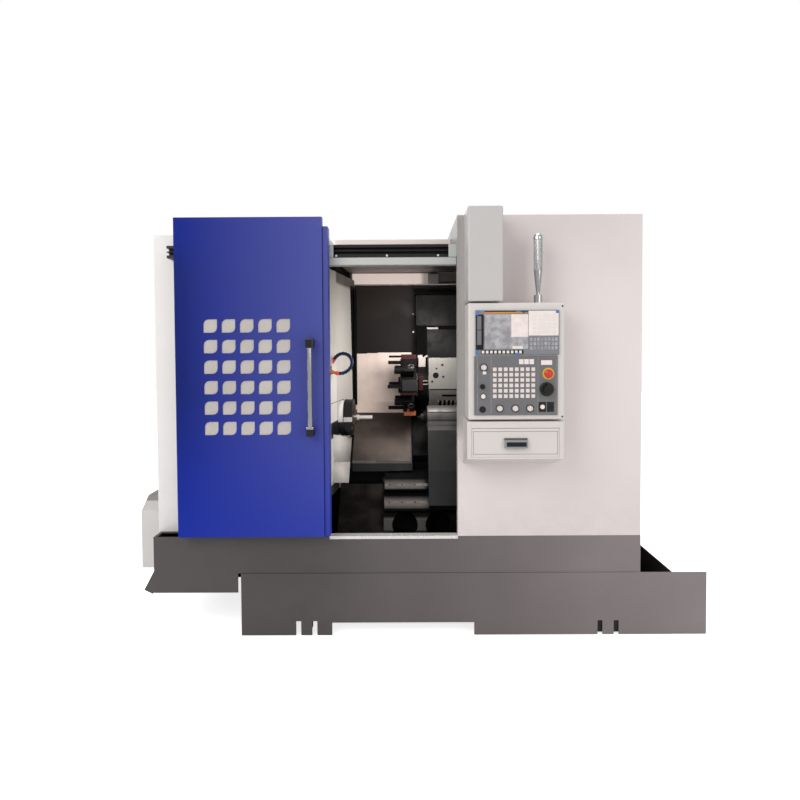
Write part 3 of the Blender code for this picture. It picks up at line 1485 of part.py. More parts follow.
def make_tailstock():
    """Tailstock on the lower ways, reaching over the Z cover, with its quill and live centre."""
    place = (TAIL_LEFT, AXIS_DEPTH, AXIS_HEIGHT)
    tail_body = new_body("tailstock", place, MACHINE)
    head = AXIS_OVER_BED
    outline = [
        slope(TAIL_BASE_UP, GAP),
        slope(TAIL_BASE_DOWN, GAP),
        slope(TAIL_BASE_DOWN, TAIL_BASE_EDGE),
        slope(TAIL_SHOULDER_DOWN, TAIL_SHOULDER_OUT),
        slope(TAIL_HEAD_RADIUS - OVERLAP, head),
        slope(-TAIL_HEAD_RADIUS + OVERLAP, head),
        slope(-TAIL_HEAD_RADIUS / 2, TAIL_ARM_CLEARANCE),
        slope(TAIL_BASE_UP, TAIL_ARM_CLEARANCE),
    ]
    right = TAIL_LEFT + TAIL_LENGTH
    casting = prism("tailstock_body", [outline], "YZ", TAIL_LEFT, right)
    sleeve = drum(
        "tail_sleeve",
        TAIL_HEAD_RADIUS,
        (TAIL_LEFT - OVERLAP, AXIS_DEPTH, AXIS_HEIGHT),
        (right + OVERLAP, AXIS_DEPTH, AXIS_HEIGHT),
        FINE_SIDES,
    )
    bore = drum(
        "quill_bore",
        QUILL_RADIUS + GAP,
        (TAIL_LEFT - OVERRUN, AXIS_DEPTH, AXIS_HEIGHT),
        (right + OVERRUN, AXIS_DEPTH, AXIS_HEIGHT),
        FINE_SIDES,
    )
    unite(casting, sleeve)
    seat(carve(casting, bore), "cast_iron", tail_body)
    nose = TAIL_LEFT - QUILL_PROUD
    quill_start = (nose, AXIS_DEPTH, AXIS_HEIGHT)
    quill_body = new_body("quill", quill_start, tail_body)
    length = QUILL_PROUD + TAIL_LENGTH - QUILL_TAIL
    profile = [
        (CENTRE_SHANK + GAP, length),
        (QUILL_RADIUS, length),
        (QUILL_RADIUS, 0),
        (CENTRE_SHANK + GAP, 0),
    ]
    quill = turned("tailstock_quill", profile, quill_start, (1, 0, 0), FINE_SIDES)
    seat(quill, "bare_steel", quill_body)
    centre_body = new_body("centre", quill_start, quill_body)
    head_start = GAP + CENTRE_HEAD_LENGTH
    profile = [
        (0, head_start + CENTRE_CONE),
        (CENTRE_HEAD * 2 / 3, head_start),
        (CENTRE_HEAD, head_start),
        (CENTRE_HEAD, GAP),
        (CENTRE_SHANK, GAP),
        (CENTRE_SHANK, -CENTRE_SHANK_LENGTH),
        (0, -CENTRE_SHANK_LENGTH),
    ]
    centre = turned("live_centre", profile, quill_start, (-1, 0, 0))
    seat(centre, "bare_steel", centre_body)


def make_hose():
    """Segmented coolant hose that loops from one valve on the wall to the other."""
    run = Vector((WALL_MIDDLE_X - WALL_FRONT_X, WALL_MIDDLE_DEPTH - WALL_FOLD_DEPTH, 0))
    outward = Vector((run.y, -run.x, 0)).normalized()
    upper = Vector((wall_x(HOSE_UPPER_DEPTH), HOSE_UPPER_DEPTH, HOSE_UPPER_HEIGHT))
    lower = Vector((wall_x(HOSE_LOWER_DEPTH), HOSE_LOWER_DEPTH, HOSE_LOWER_HEIGHT))
    stub = outward * (GAP + HOSE_STUB)
    points = [upper + outward * GAP]
    for step in range(HOSE_POINTS + 1):
        share = step / HOSE_POINTS
        turn = math.pi * share
        middle = (upper.lerp(lower, share) + stub) + outward * HOSE_WIDTH * math.sin(turn) ** 0.7
        middle.z = upper.z - (upper.z - lower.z) * (1 - math.cos(turn)) / 2
        middle.z += HOSE_CROWN * math.sin(turn * 2)
        points.append(middle)
    points.append(lower + outward * GAP)
    seat(tube("coolant_hose", points, HOSE_RADIUS), "hose_blue")


def leaf(middle_x, middle_z):
    """Opening with two sharp corners and, at upper left and lower right, two round ones."""
    half_x = LEAF_WIDTH / 2
    half_z = LEAF_HEIGHT / 2
    points = [(middle_x + half_x, middle_z + half_z)]
    for corner_x, corner_z, first in ((-1, 1, 90), (1, -1, 270)):
        for step in range(LEAF_ARC_STEPS + 1):
            angle = math.radians(first + 90 * step / LEAF_ARC_STEPS)
            centre_x = middle_x + corner_x * (half_x - LEAF_ROUND)
            centre_z = middle_z + corner_z * (half_z - LEAF_ROUND)
            points.append(
                (
                    centre_x + LEAF_ROUND * math.cos(angle),
                    centre_z + LEAF_ROUND * math.sin(angle),
                )
            )
        if corner_x < 0:
            points.append((middle_x - half_x, middle_z - half_z))
    return points


def make_door():
    """Blue door leaf with its leaf-shaped openings, pane, leading channel, hanger and handle."""
    body = new_body("door", (DOOR_RIGHT, DOOR_BACK, TRACK_TOP), MACHINE)
    door = sheet_box(
        "door_panel",
        (DOOR_LEFT, DOOR_FRONT, DOOR_LOW),
        (DOOR_RIGHT, DOOR_BACK, DOOR_TOP),
        SHEET,
        lambda middle, normal: normal.y < ROOT_HALF,
    )
    middle_x = DOOR_LEFT + LEAF_MIDDLE_X
    middle_z = DOOR_LOW + LEAF_MIDDLE_Z
    loops = []
    for column in range(LEAF_COLUMNS):
        for row in range(LEAF_ROWS):
            x = middle_x + (column - (LEAF_COLUMNS - 1) / 2) * LEAF_PITCH_X
            z = middle_z + (row - (LEAF_ROWS - 1) / 2) * LEAF_PITCH_Z
            loops.append(leaf(x, z))
    holes = prism("leaf_holes", loops, "XZ", DOOR_FRONT - OVERRUN, DOOR_FRONT + SHEET + OVERRUN)
    carve(door, holes)
    hanger_low = TRACK_TOP + GAP
    hanger = block(
        "door_hanger",
        (DOOR_LEFT + HANGER_INSET, DOOR_FRONT + SHEET - OVERLAP, hanger_low),
        (DOOR_RIGHT - HANGER_INSET, DOOR_BACK + HANGER_REACH, hanger_low + HANGER_PLATE),
    )
    unite(door, hanger)
    seat(door, "blue_paint", body)
    pane_front = DOOR_FRONT + SHEET + GAP
    margin_x = LEAF_PITCH_X * (LEAF_COLUMNS + 1) / 2
    margin_z = LEAF_PITCH_Z * (LEAF_ROWS + 1) / 2
    pane = block(
        "door_pane",
        (middle_x - margin_x, pane_front, middle_z - margin_z),
        (middle_x + margin_x, pane_front + WINDOW_SHEET, middle_z + margin_z),
    )
    seat(pane, "pane", body)
    channel = block(
        "door_channel",
        (DOOR_RIGHT + GAP, CHANNEL_FRONT, DOOR_LOW),
        (DOOR_RIGHT + CHANNEL_WIDTH, CHANNEL_BACK, DOOR_TOP - CHANNEL_DROP),
    )
    seat(soften(channel, OVERLAP, 1), "blue_paint", body)
    make_door_handle(body)


def make_door_handle(body):
    """Upright tube between two blocks that stand on the door's face."""
    x = DOOR_RIGHT - HANDLE_FROM_RIGHT
    face = DOOR_FRONT - GAP
    y = face - HANDLE_STAND_OFF + HANDLE_RADIUS
    high = HANDLE_LOW + HANDLE_LENGTH
    rod = drum("door_handle", HANDLE_RADIUS, (x, y, HANDLE_LOW + OVERLAP), (x, y, high - OVERLAP))
    for name, low in (("bottom", HANDLE_LOW), ("top", high - HANDLE_END_HEIGHT)):
        end = block(
            f"handle_{name}",
            (x - HANDLE_END_WIDTH / 2, face - HANDLE_STAND_OFF - OVERLAP, low),
            (x + HANDLE_END_WIDTH / 2, face, low + HANDLE_END_HEIGHT),
        )
        unite(rod, soften(end, OVERLAP * 2))
    seat(rod, "chrome", body)


def make_control_column():
    """Column on the cabinet that the control box swings under, with its upper pivot boss."""
    low = CONTROL_TOP + CONTROL_GAP
    column = block(
        "control_column",
        (COLUMN_LEFT, CONTROL_FRONT, low),
        (COLUMN_LEFT + COLUMN_WIDTH, -GAP, COLUMN_TOP),
    )
    soften(column, CONTROL_ROUND)
    boss = drum(
        "upper_boss",
        PIVOT_RADIUS,
        (PIVOT_X, PIVOT_Y, CONTROL_TOP + GAP),
        (PIVOT_X, PIVOT_Y, low + OVERRUN),
    )
    seat(unite(column, boss), "light_grey")


def make_console():
    """Console under the control box with its sloping underside, lower boss and drawer."""
    right = CONSOLE_LEFT + CONSOLE_WIDTH
    outline = [
        (CONTROL_FRONT, CONSOLE_TOP),
        (CONTROL_FRONT, CONSOLE_FRONT_LOW),
        (-GAP, CONSOLE_FRONT_LOW - CONSOLE_FALL),
        (-GAP, CONSOLE_TOP),
    ]
    console = prism("drawer_console", [outline], "YZ", CONSOLE_LEFT, right)
    pocket_low = CONSOLE_FRONT_LOW + DRAWER_LOW
    pocket = block(
        "drawer_pocket",
        (CONSOLE_LEFT + DRAWER_INSET, CONTROL_FRONT - OVERRUN, pocket_low),
        (right - DRAWER_INSET, DRAWER_BACK, pocket_low + DRAWER_HEIGHT),
    )
    boss = drum(
        "lower_boss",
        PIVOT_RADIUS,
        (PIVOT_X, PIVOT_Y, CONSOLE_TOP - OVERLAP),
        (PIVOT_X, PIVOT_Y, CONTROL_LOW - GAP),
    )
    carve(console, pocket)
    seat(unite(console, boss), "light_grey")
    make_drawer(pocket_low, right)


def make_drawer(pocket_low, right):
    """Open tray with its front plate and cup pull."""
    left = CONSOLE_LEFT + DRAWER_INSET + DRAWER_SIDE_GAP
    right = right - DRAWER_INSET - DRAWER_SIDE_GAP
    low = pocket_low + GAP
    high = low + DRAWER_HEIGHT - DRAWER_SIDE_GAP * 2
    tray_top = low + (high - low) * DRAWER_TRAY_SHARE
    body = new_body("drawer_body", ((left + right) / 2, CONTROL_FRONT, low), MACHINE)
    tray = sheet_box(
        "drawer",
        (left, CONTROL_FRONT + OVERLAP, low),
        (right, DRAWER_BACK - DRAWER_SIDE_GAP, tray_top),
        DRAWER_WALL,
        lambda middle, normal: normal.z < ROOT_HALF,
    )
    plate = block(
        "drawer_plate",
        (left, CONTROL_FRONT, low),
        (right, CONTROL_FRONT + DRAWER_FRONT_PLATE, high),
    )
    seat(unite(tray, plate), "light_grey", body)
    make_drawer_pull(body, (left + right) / 2, (low + high) / 2)


def make_drawer_pull(body, middle_x, middle_z):
    """Cup pull: a rounded hood that is open underneath."""
    face = CONTROL_FRONT - GAP
    low = middle_z - PULL_HEIGHT / 2

    def hood(wall):
        points = [(face, low + PULL_HEIGHT - wall)]
        for step in range(1, PULL_STEPS + 1):
            angle = math.pi / 2 * step / PULL_STEPS
            depth = face - (PULL_PROUD - wall) * math.sin(angle)
            height = low + (PULL_HEIGHT - wall) * math.cos(angle)
            points.append((depth, max(height, low)))
        points.append((face, low))
        return points

    half = PULL_WIDTH / 2
    cup = prism("drawer_pull", [hood(0)], "YZ", middle_x - half, middle_x + half)
    hollow_loop = []
    for depth, height in hood(PULL_WALL)[:-1]:
        drop = OVERRUN if height <= low else 0
        hollow_loop.append((depth, height - drop))
    hollow_loop.append((face + OVERRUN, low - OVERRUN))
    hollow_loop.append((face + OVERRUN, low + PULL_HEIGHT - PULL_WALL))
    hollow = prism(
        "pull_hollow",
        [hollow_loop],
        "YZ",
        middle_x - half + PULL_WALL,
        middle_x + half - PULL_WALL,
    )
    seat(carve(cup, hollow), "chrome", body)


def panel_place(at):
    """Place across and above on the operator panel, in the machine's frame."""
    return (PANEL_LEFT + at[0], PANEL_BASE + at[1])


def make_control_box():
    """Control box on its pivots, with the display unit and the operator panel on its face."""
    body = new_body("control", (PIVOT_X, PIVOT_Y, CONTROL_LOW), MACHINE)
    right = CONTROL_LEFT + CONTROL_WIDTH
    box = block(
        "control_box",
        (CONTROL_LEFT, CONTROL_SKIN, CONTROL_LOW),
        (right, CONTROL_BACK, CONTROL_TOP),
    )
    seat(soften(box, CONTROL_ROUND), "light_grey", body)
    left = CONTROL_LEFT + DISPLAY_INSET_LEFT
    top = CONTROL_TOP - DISPLAY_DROP
    low = top - DISPLAY_HEIGHT
    display = block(
        "display_unit",
        (left, CONTROL_FRONT, low),
        (left + DISPLAY_WIDTH, PANEL_BACK, top),
    )
    soften(display, SHEET)
    recess = block(
        "screen_recess",
        (left + SCREEN_LEFT, CONTROL_FRONT - OVERRUN, low + SCREEN_LOW),
        (
            left + SCREEN_LEFT + SCREEN_WIDTH,
            CONTROL_FRONT + SCREEN_RECESS,
            low + SCREEN_LOW + SCREEN_HEIGHT,
        ),
    )
    seat(carve(display, recess), "display_grey", body)
    make_operator_panel(body)
    return body


def make_operator_panel(body):
    """Panel with its grid of keys, the stop button's ring, and holes for what is pushed."""
    panel = block(
        "operator_panel",
        (PANEL_LEFT, PANEL_FACE, PANEL_BASE),
        (PANEL_LEFT + PANEL_WIDTH, PANEL_BACK, PANEL_BASE + PANEL_HEIGHT),
    )
    stop_x, stop_z = panel_place(STOP_AT)
    ring = drum(
        "stop_ring",
        STOP_RING,
        (stop_x, PANEL_FACE + OVERLAP, stop_z),
        (stop_x, PANEL_FACE - STOP_RING_PROUD, stop_z),
    )
    unite(panel, ring)
    for column in range(KEY_COLUMNS):
        loops = []
        for row in range(KEY_ROWS):
            x, z = panel_place(
                (KEY_FIRST_X + column * KEY_PITCH_X, KEY_FIRST_Z + row * KEY_PITCH_Z)
            )
            half = KEY_SIZE / 2
            corners = ((-half, -half), (half, -half), (half, half), (-half, half))
            loops.append([(x + across, z + up) for across, up in corners])
        keys = prism(
            f"keys_{column}", loops, "XZ", PANEL_FACE - KEY_PROUD, PANEL_FACE + OVERLAP
        )
        unite(panel, keys)
    holes = (
        ("stop_hole", STOP_AT, STOP_STEM),
        ("white_hole", WHITE_BUTTON_AT, BUTTON_RADIUS),
        ("black_hole", BLACK_BUTTON_AT, BUTTON_RADIUS),
    )
    for name, at, radius in holes:
        x, z = panel_place(at)
        hole = drum(
            name,
            radius + GAP,
            (x, PANEL_FACE - OVERRUN, z),
            (x, PANEL_BACK + OVERRUN, z),
        )
        carve(panel, hole)
    seat(panel, "panel_grey", body)


def make_controls(control):
    """Stop button, hand wheel, knobs, key switch and push buttons, each on its own axis."""
    names = [f"override_knob_{number + 1}" for number in range(len(OVERRIDE_AT))]
    for name, at in zip(names + ["mode_knob"], OVERRIDE_AT + (MODE_AT,)):
        make_knob(name, at, control)
    for name, at, finish in (
        ("start_button", WHITE_BUTTON_AT, "knob_white"),
        ("hold_button", BLACK_BUTTON_AT, "black"),
    ):
        x, z = panel_place(at)
        body = new_body(f"{name}_body", (x, PANEL_FACE, z), control)
        button = drum(
            name,
            BUTTON_RADIUS,
            (x, PANEL_BACK - BUTTON_TRAVEL - GAP * 2, z),
            (x, PANEL_FACE - BUTTON_PROUD, z),
        )
        seat(button, finish, body)
    make_stop_button(control)
    make_hand_wheel(control)
    x, z = panel_place(KEY_AT)
    body = new_body("key_body", (x, PANEL_FACE, z), control)
    barrel = drum(
        "key_switch",
        KEY_BARREL,
        (x, PANEL_FACE - GAP, z),
        (x, PANEL_FACE - KNOB_RIDGE_HEIGHT, z),
    )
    blade = block(
        "key_blade",
        (x - KEY_BLADE / 2, PANEL_FACE - KNOB_HEIGHT - KNOB_RIDGE_HEIGHT, z - KEY_BLADE_WIDTH / 2),
        (x + KEY_BLADE / 2, PANEL_FACE - KNOB_RIDGE_HEIGHT + OVERLAP, z + KEY_BLADE_WIDTH / 2),
    )
    seat(unite(barrel, blade), "black", body)


def make_knob(name, at, control):
    """Selector knob: a tapered base with a grip ridge across it."""
    x, z = panel_place(at)
    body = new_body(f"{name}_body", (x, PANEL_FACE, z), control)
    start = PANEL_FACE - GAP
    end = start - KNOB_HEIGHT
    knob = drum(
        name, KNOB_RADIUS, (x, start, z), (x, end, z), ROUND_SIDES, KNOB_RADIUS - KNOB_RIDGE / 2
    )
    ridge = block(
        f"{name}_ridge",
        (x - KNOB_RIDGE / 2, end - KNOB_RIDGE_HEIGHT, z - KNOB_RADIUS + KNOB_RIDGE),
        (x + KNOB_RIDGE / 2, end + OVERLAP, z + KNOB_RADIUS - KNOB_RIDGE / 2),
    )
    seat(unite(knob, ridge), "knob_white", body)


def make_stop_button(control):
    """Mushroom button: a domed head on a stem that runs in the panel."""
    x, z = panel_place(STOP_AT)
    body = new_body("stop_body", (x, PANEL_FACE, z), control)
    under = STOP_RING_PROUD + STOP_TRAVEL + GAP * 2
    depth = PANEL_THICK - STOP_TRAVEL - GAP * 2
    profile = [
        (0, under + STOP_HEAD),
        (STOP_RADIUS / 2, under + STOP_HEAD - STOP_HEAD / 8),
        (STOP_RADIUS - STOP_HEAD / 4, under + STOP_HEAD / 2),
        (STOP_RADIUS, under + STOP_HEAD / 4),
        (STOP_RADIUS, under),
        (STOP_STEM, under),
        (STOP_STEM, -depth),
        (0, -depth),
    ]
    seat(turned("stop_button", profile, (x, PANEL_FACE, z), (0, -1, 0)), "stop_red", body)


def make_hand_wheel(control):
    """Pulse hand wheel: a knurled rim, a flat face and a turning peg."""
    x, z = panel_place(WHEEL_AT)
    body = new_body("wheel_body", (x, PANEL_FACE, z), control)
    rim = WHEEL_HEIGHT - OVERLAP
    profile = [
        (0, WHEEL_HEIGHT),
        (WHEEL_HUB, WHEEL_HEIGHT),
        (WHEEL_HUB, rim),
        (WHEEL_RADIUS - OVERLAP, rim),
        (WHEEL_RADIUS, rim - OVERLAP),
        (WHEEL_RADIUS, GAP),
        (0, GAP),
    ]
    wheel = turned("hand_wheel", profile, (x, PANEL_FACE, z), (0, -1, 0), FINE_SIDES)
    peg_z = z + WHEEL_RADIUS - WHEEL_PEG * 2
    peg = drum(
        "wheel_peg",
        WHEEL_PEG,
        (x, PANEL_FACE - WHEEL_HEIGHT + OVERLAP * 2, peg_z),
        (x, PANEL_FACE - WHEEL_HEIGHT * 2 - GAP, peg_z),
        SMALL_SIDES,
    )
    seat(unite(wheel, peg), "black", body)


def make_lamp(control):
    """Signal lamp on the control box: foot and cone, clear tube, and cap with its inner rod."""
    x = CONTROL_LEFT + LAMP_FROM_LEFT
    y = CONTROL_BACK - LAMP_FROM_BACK
    foot = CONTROL_TOP + GAP
    neck = LAMP_FOOT_HEIGHT + LAMP_NECK_HEIGHT
    cone = neck + LAMP_CONE_HEIGHT
    profile = [
        (0, cone),
        (LAMP_TUBE_RADIUS, cone),
        (LAMP_NECK_RADIUS, neck),
        (LAMP_NECK_RADIUS, LAMP_FOOT_HEIGHT),
        (LAMP_FOOT_RADIUS, LAMP_FOOT_HEIGHT),
        (LAMP_FOOT_RADIUS, 0),
        (0, 0),
    ]
    seat(turned("lamp_base", profile, (x, y, foot), (0, 0, 1)), "chrome", control)
    tube_low = foot + cone + GAP
    inner = LAMP_TUBE_RADIUS - LAMP_TUBE_WALL
    profile = [
        (inner, LAMP_TUBE_HEIGHT),
        (LAMP_TUBE_RADIUS, LAMP_TUBE_HEIGHT),
        (LAMP_TUBE_RADIUS, 0),
        (inner, 0),
    ]
    seat(turned("lamp_tube", profile, (x, y, tube_low), (0, 0, 1)), "lamp_clear", control)
    cap_low = tube_low + LAMP_TUBE_HEIGHT + GAP
    profile = [
        (0, LAMP_CAP_HEIGHT),
        (LAMP_CAP_RADIUS / 2, LAMP_CAP_HEIGHT - LAMP_CAP_HEIGHT / 12),
        (LAMP_CAP_RADIUS * 7 / 8, LAMP_CAP_HEIGHT - LAMP_CAP_HEIGHT / 3),
        (LAMP_CAP_RADIUS, LAMP_CAP_HEIGHT / 3),
        (LAMP_CAP_RADIUS, 0),
        (LAMP_ROD_RADIUS, 0),
        (LAMP_ROD_RADIUS, -LAMP_TUBE_HEIGHT - GAP),
        (0, -LAMP_TUBE_HEIGHT - GAP),
    ]
    seat(turned("lamp_cap", profile, (x, y, cap_low), (0, 0, 1)), "chrome", control)


def main():
    make_base()
    make_bed()
    make_sill()
    make_covers()
    make_header()
    make_lining()
    make_headstock_wall()
    make_headstock()
    make_motor_cover()
    make_chip_pan()
    make_tank()
    make_spindle()
    carriage = make_saddle()
    make_way_covers()
    cross_body, centre = make_cross_slide(carriage)
    make_turret(cross_body, centre)
    make_tailstock()
    make_hose()
    make_door()
    make_control_column()
    make_console()
    control = make_control_box()
    make_controls(control)
    make_lamp(control)


main()
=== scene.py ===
"""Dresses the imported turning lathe: finishes for every CAD node, the small fittings that
the solids leave out, a white studio, and the camera at the photograph's viewpoint.

Places are in metres in the CAD's frame: +X right, +Y to the machine's back, +Z up.
"""

import json
import logging
import math
from dataclasses import dataclass, field, replace
from enum import Enum
from typing import Iterable, Sequence

import bmesh
import bpy
from mathutils import Matrix, Vector

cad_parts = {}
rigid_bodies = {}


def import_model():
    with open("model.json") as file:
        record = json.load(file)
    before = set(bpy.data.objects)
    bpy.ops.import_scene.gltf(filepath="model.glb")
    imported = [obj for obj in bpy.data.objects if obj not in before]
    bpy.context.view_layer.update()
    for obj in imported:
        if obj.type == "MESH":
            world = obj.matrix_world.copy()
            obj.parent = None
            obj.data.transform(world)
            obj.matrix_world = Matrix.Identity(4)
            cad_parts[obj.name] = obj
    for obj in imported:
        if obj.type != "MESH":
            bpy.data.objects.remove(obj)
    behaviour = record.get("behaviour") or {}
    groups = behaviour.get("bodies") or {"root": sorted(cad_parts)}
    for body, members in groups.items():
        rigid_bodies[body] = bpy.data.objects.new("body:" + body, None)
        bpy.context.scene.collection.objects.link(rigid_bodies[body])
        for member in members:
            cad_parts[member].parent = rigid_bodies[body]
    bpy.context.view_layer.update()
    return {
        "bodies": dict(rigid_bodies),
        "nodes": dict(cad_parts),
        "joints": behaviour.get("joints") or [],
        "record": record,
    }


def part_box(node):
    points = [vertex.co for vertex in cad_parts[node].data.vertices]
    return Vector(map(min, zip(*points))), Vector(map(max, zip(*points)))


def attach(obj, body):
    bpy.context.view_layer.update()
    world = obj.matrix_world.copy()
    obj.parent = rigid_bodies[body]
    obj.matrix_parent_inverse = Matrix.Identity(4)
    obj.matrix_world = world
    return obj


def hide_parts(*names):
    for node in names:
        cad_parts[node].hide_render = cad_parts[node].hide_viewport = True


LOG = logging.getLogger("lathe_scene")
BODY = "frame"
FRONTWARD = (0, -1, 0)
RIGHTWARD = (1, 0, 0)
SLOPE = math.sqrt(0.5)
WHITE = (1.0, 1.0, 1.0, 1.0)
DUST = (0.1, 0.085, 0.07)
GRAIN_SHARE = 0.16
ZONE_SHADE = 0.14
RELIEF = 0.0006
WELD_REACH = 0.00002
TILE_ROOT = 0.0002
BEVEL_STEPS = 2
SHARP_ANGLE = math.radians(32)
FLAT_ANGLE = math.radians(1)
BEVEL_ANGLE = math.radians(40)
Point = tuple[float, float, float]
Pair = tuple[float, float]
Box = tuple[Point, Point]
Tile = tuple[float, float, float, float]
Colour = tuple[float, float, float]
Socket = bpy.types.NodeSocket


def srgb(red: int, green: int, blue: int) -> Colour:
    """Linear colour of a screen colour given from 0 to 255."""

    def linear(value: int) -> float:
        """Linear value of one channel."""
        share = value / 255
        return share / 12.92 if share <= 0.04045 else ((share + 0.055) / 1.055) ** 2.4

    return (linear(red), linear(green), linear(blue))


class Axis(Enum):
    """Direction along which a finish is brushed or a fitting points."""

    X = (1.0, 0.0, 0.0)
    Y = (0.0, 1.0, 0.0)
    Z = (0.0, 0.0, 1.0)


class Kind(Enum):
    """How a finish reflects light."""

    PAINT = "paint"
    METAL = "metal"
    SATIN = "satin"
    PLASTIC = "plastic"
    CLEAR = "clear"

    @property
    def metallic(self) -> float:
        """How metallic the shader is."""
        return {Kind.METAL: 1.0, Kind.SATIN: 0.3}.get(self, 0.0)


@dataclass
class Nodes:
    """Thin helper around one node tree."""

    tree: bpy.types.NodeTree

    def add(self, kind: str, **inputs: object) -> bpy.types.Node:
        """Adds a node and sets its sockets or properties by name.

        Args:
            kind: the node's Blender type.
            inputs: socket names with spaces as underscores, or properties.

        Returns:
            The new node.
        """
        node = self.tree.nodes.new(kind)
        for name, value in inputs.items():
            if hasattr(node, name) and name not in ("inputs", "outputs"):
                setattr(node, name, value)
            else:
                self.set(node, name.replace("_", " "), value)
        return node

    def set(self, node: bpy.types.Node, socket: str | int, value: object) -> None:
        """Links an output into a socket, or sets its plain value.

        Args:
            node: the node that is changed.
            socket: the input's name or number.
            value: an output socket, or a plain value.
        """
        target = node.inputs[socket]
        if isinstance(value, Socket):
            self.tree.links.new(value, target)
        else:
            target.default_value = value

    def math(self, operation: str, *values: object, clamp: bool = False) -> Socket:
        """Math node on up to three values.

        Args:
            operation: Blender's name of the operation.
            values: numbers or sockets.
            clamp: keeps the result between 0 and 1.

        Returns:
            The result's socket.
        """
        node = self.tree.nodes.new("ShaderNodeMath")
        node.operation = operation
        node.use_clamp = clamp
        for index, value in enumerate(values):
            self.set(node, index, value)
        return node.outputs[0]

    def band(
        self, value: object, low: float, high: float, out_low: float = 0.0, out_high: float = 1.0
    ) -> Socket:
        """Smooth step of a value.

        Args:
            value: the number or socket that is read.
            low: where the step starts.
            high: where the step ends.
            out_low: result below the step.
            out_high: result above the step.

        Returns:
            The result's socket.
        """
        node = self.tree.nodes.new("ShaderNodeMapRange")
        node.interpolation_type = "SMOOTHSTEP"
        for index, number in enumerate((value, low, high, out_low, out_high)):
            self.set(node, index, number)
        return node.outputs[0]

    def blend(self, share: object, first: object, second: object) -> Socket:
        """Colour mixed between two colours.

        Args:
            share: how much of the second colour there is.
            first: a colour or socket.
            second: a colour or socket.

        Returns:
            The mixed colour's socket.
        """
        node = self.tree.nodes.new("ShaderNodeMix")
        node.data_type = "RGBA"
        self.set(node, 0, share)
        self.set(node, 6, first if not isinstance(first, tuple) else (*first, 1.0))
        self.set(node, 7, second if not isinstance(second, tuple) else (*second, 1.0))
        return node.outputs[2]

    def place(self) -> Socket:
        """Object coordinates, which are the row frame's own on every piece."""
        return self.tree.nodes.new("ShaderNodeTexCoord").outputs["Object"]

    def parts(self, vector: object) -> Sequence[Socket]:
        """Splits a vector.

        Args:
            vector: the vector's socket.

        Returns:
            The sockets of its X, Y and Z.
        """
        node = self.tree.nodes.new("ShaderNodeSeparateXYZ")
        self.set(node, 0, vector)
        return node.outputs


def new_group(
    name: str, vectors: Sequence[str], numbers: dict[str, float], outputs: Sequence[str]
) -> tuple[Nodes, Sequence[Socket], bpy.types.Node]:
    """Empty shader node group with named sockets.

    Args:
        name: the group's name.
        vectors: names of its vector inputs, which come first.
        numbers: names and default values of its number inputs.
        outputs: names of its number outputs.

    Returns:
        The group's nodes, its inputs as sockets, and its output node.
    """
    group = bpy.data.node_groups.new(name, "ShaderNodeTree")
    for title in vectors:
        group.interface.new_socket(name=title, in_out="INPUT", socket_type="NodeSocketVector")
    for title, value in numbers.items():
        made = group.interface.new_socket(name=title, in_out="INPUT", socket_type="NodeSocketFloat")
        made.default_value = value
    for title in outputs:
        group.interface.new_socket(name=title, in_out="OUTPUT", socket_type="NodeSocketFloat")
    start = group.nodes.new("NodeGroupInput")
    return Nodes(group), start.outputs, group.nodes.new("NodeGroupOutput")


def noise(
    nodes: Nodes, vector: object, scale: object, detail: float, roughness: float = 0.5
) -> Socket:
    """Value of a noise texture at a place.

    Args:
        nodes: the tree that it is added to.
        vector: the place.
        scale: the texture's scale.
        detail: how many finer layers it has.
        roughness: how strong the finer layers are.

    Returns:
        The value's socket.
    """
    made = nodes.add("ShaderNodeTexNoise")
    nodes.set(made, "Vector", vector)
    nodes.set(made, "Scale", scale)
    nodes.set(made, "Detail", detail)
    nodes.set(made, "Roughness", roughness)
    return made.outputs[0]


def scaled(nodes: Nodes, vector: object, scale: Point) -> Socket:
    """Vector multiplied by three numbers.

    Args:
        nodes: the tree that it is added to.
        vector: the vector.
        scale: the three numbers.

    Returns:
        The new vector's socket.
    """
    made = nodes.add("ShaderNodeVectorMath", operation="MULTIPLY")
    nodes.set(made, 0, vector)
    nodes.set(made, 1, scale)
    return made.outputs[0]


def mottle_group() -> bpy.types.NodeTree:
    """Large soft clouds and fine specks, for paint and cast skins.

    Returns:
        The group, with the outputs Clouds and Specks.
    """
    sizes = {"Cloud Size": 3.0, "Speck Size": 180.0}
    nodes, (place, cloud_size, speck_size, _), out = new_group(
        "mottle", ["Vector"], sizes, ["Clouds", "Specks"]
    )
    clouds = noise(nodes, place, cloud_size, detail=4.0, roughness=0.55)
    specks = noise(nodes, place, speck_size, detail=3.0, roughness=0.6)
    nodes.set(out, 0, nodes.band(clouds, low=0.32, high=0.68))
    nodes.set(out, 1, nodes.band(specks, low=0.35, high=0.65))
    return nodes.tree


def grain_group(axis: Axis) -> bpy.types.NodeTree:
    """Fine lines along one axis, as a brushed or rolled sheet shows.

    Args:
        axis: the direction of the lines.

    Returns:
        The group, with the output Lines.
    """
    nodes, (place, fineness, _), out = new_group(
        f"grain_{axis.name}", ["Vector"], {"Fineness": 260.0}, ["Lines"]
    )
    stretch = tuple(0.02 if value else 1.0 for value in axis.value)
    lines = noise(nodes, scaled(nodes, place, stretch), fineness, detail=4.0, roughness=0.7)
    nodes.set(out, 0, nodes.band(lines, low=0.25, high=0.75))
    return nodes.tree


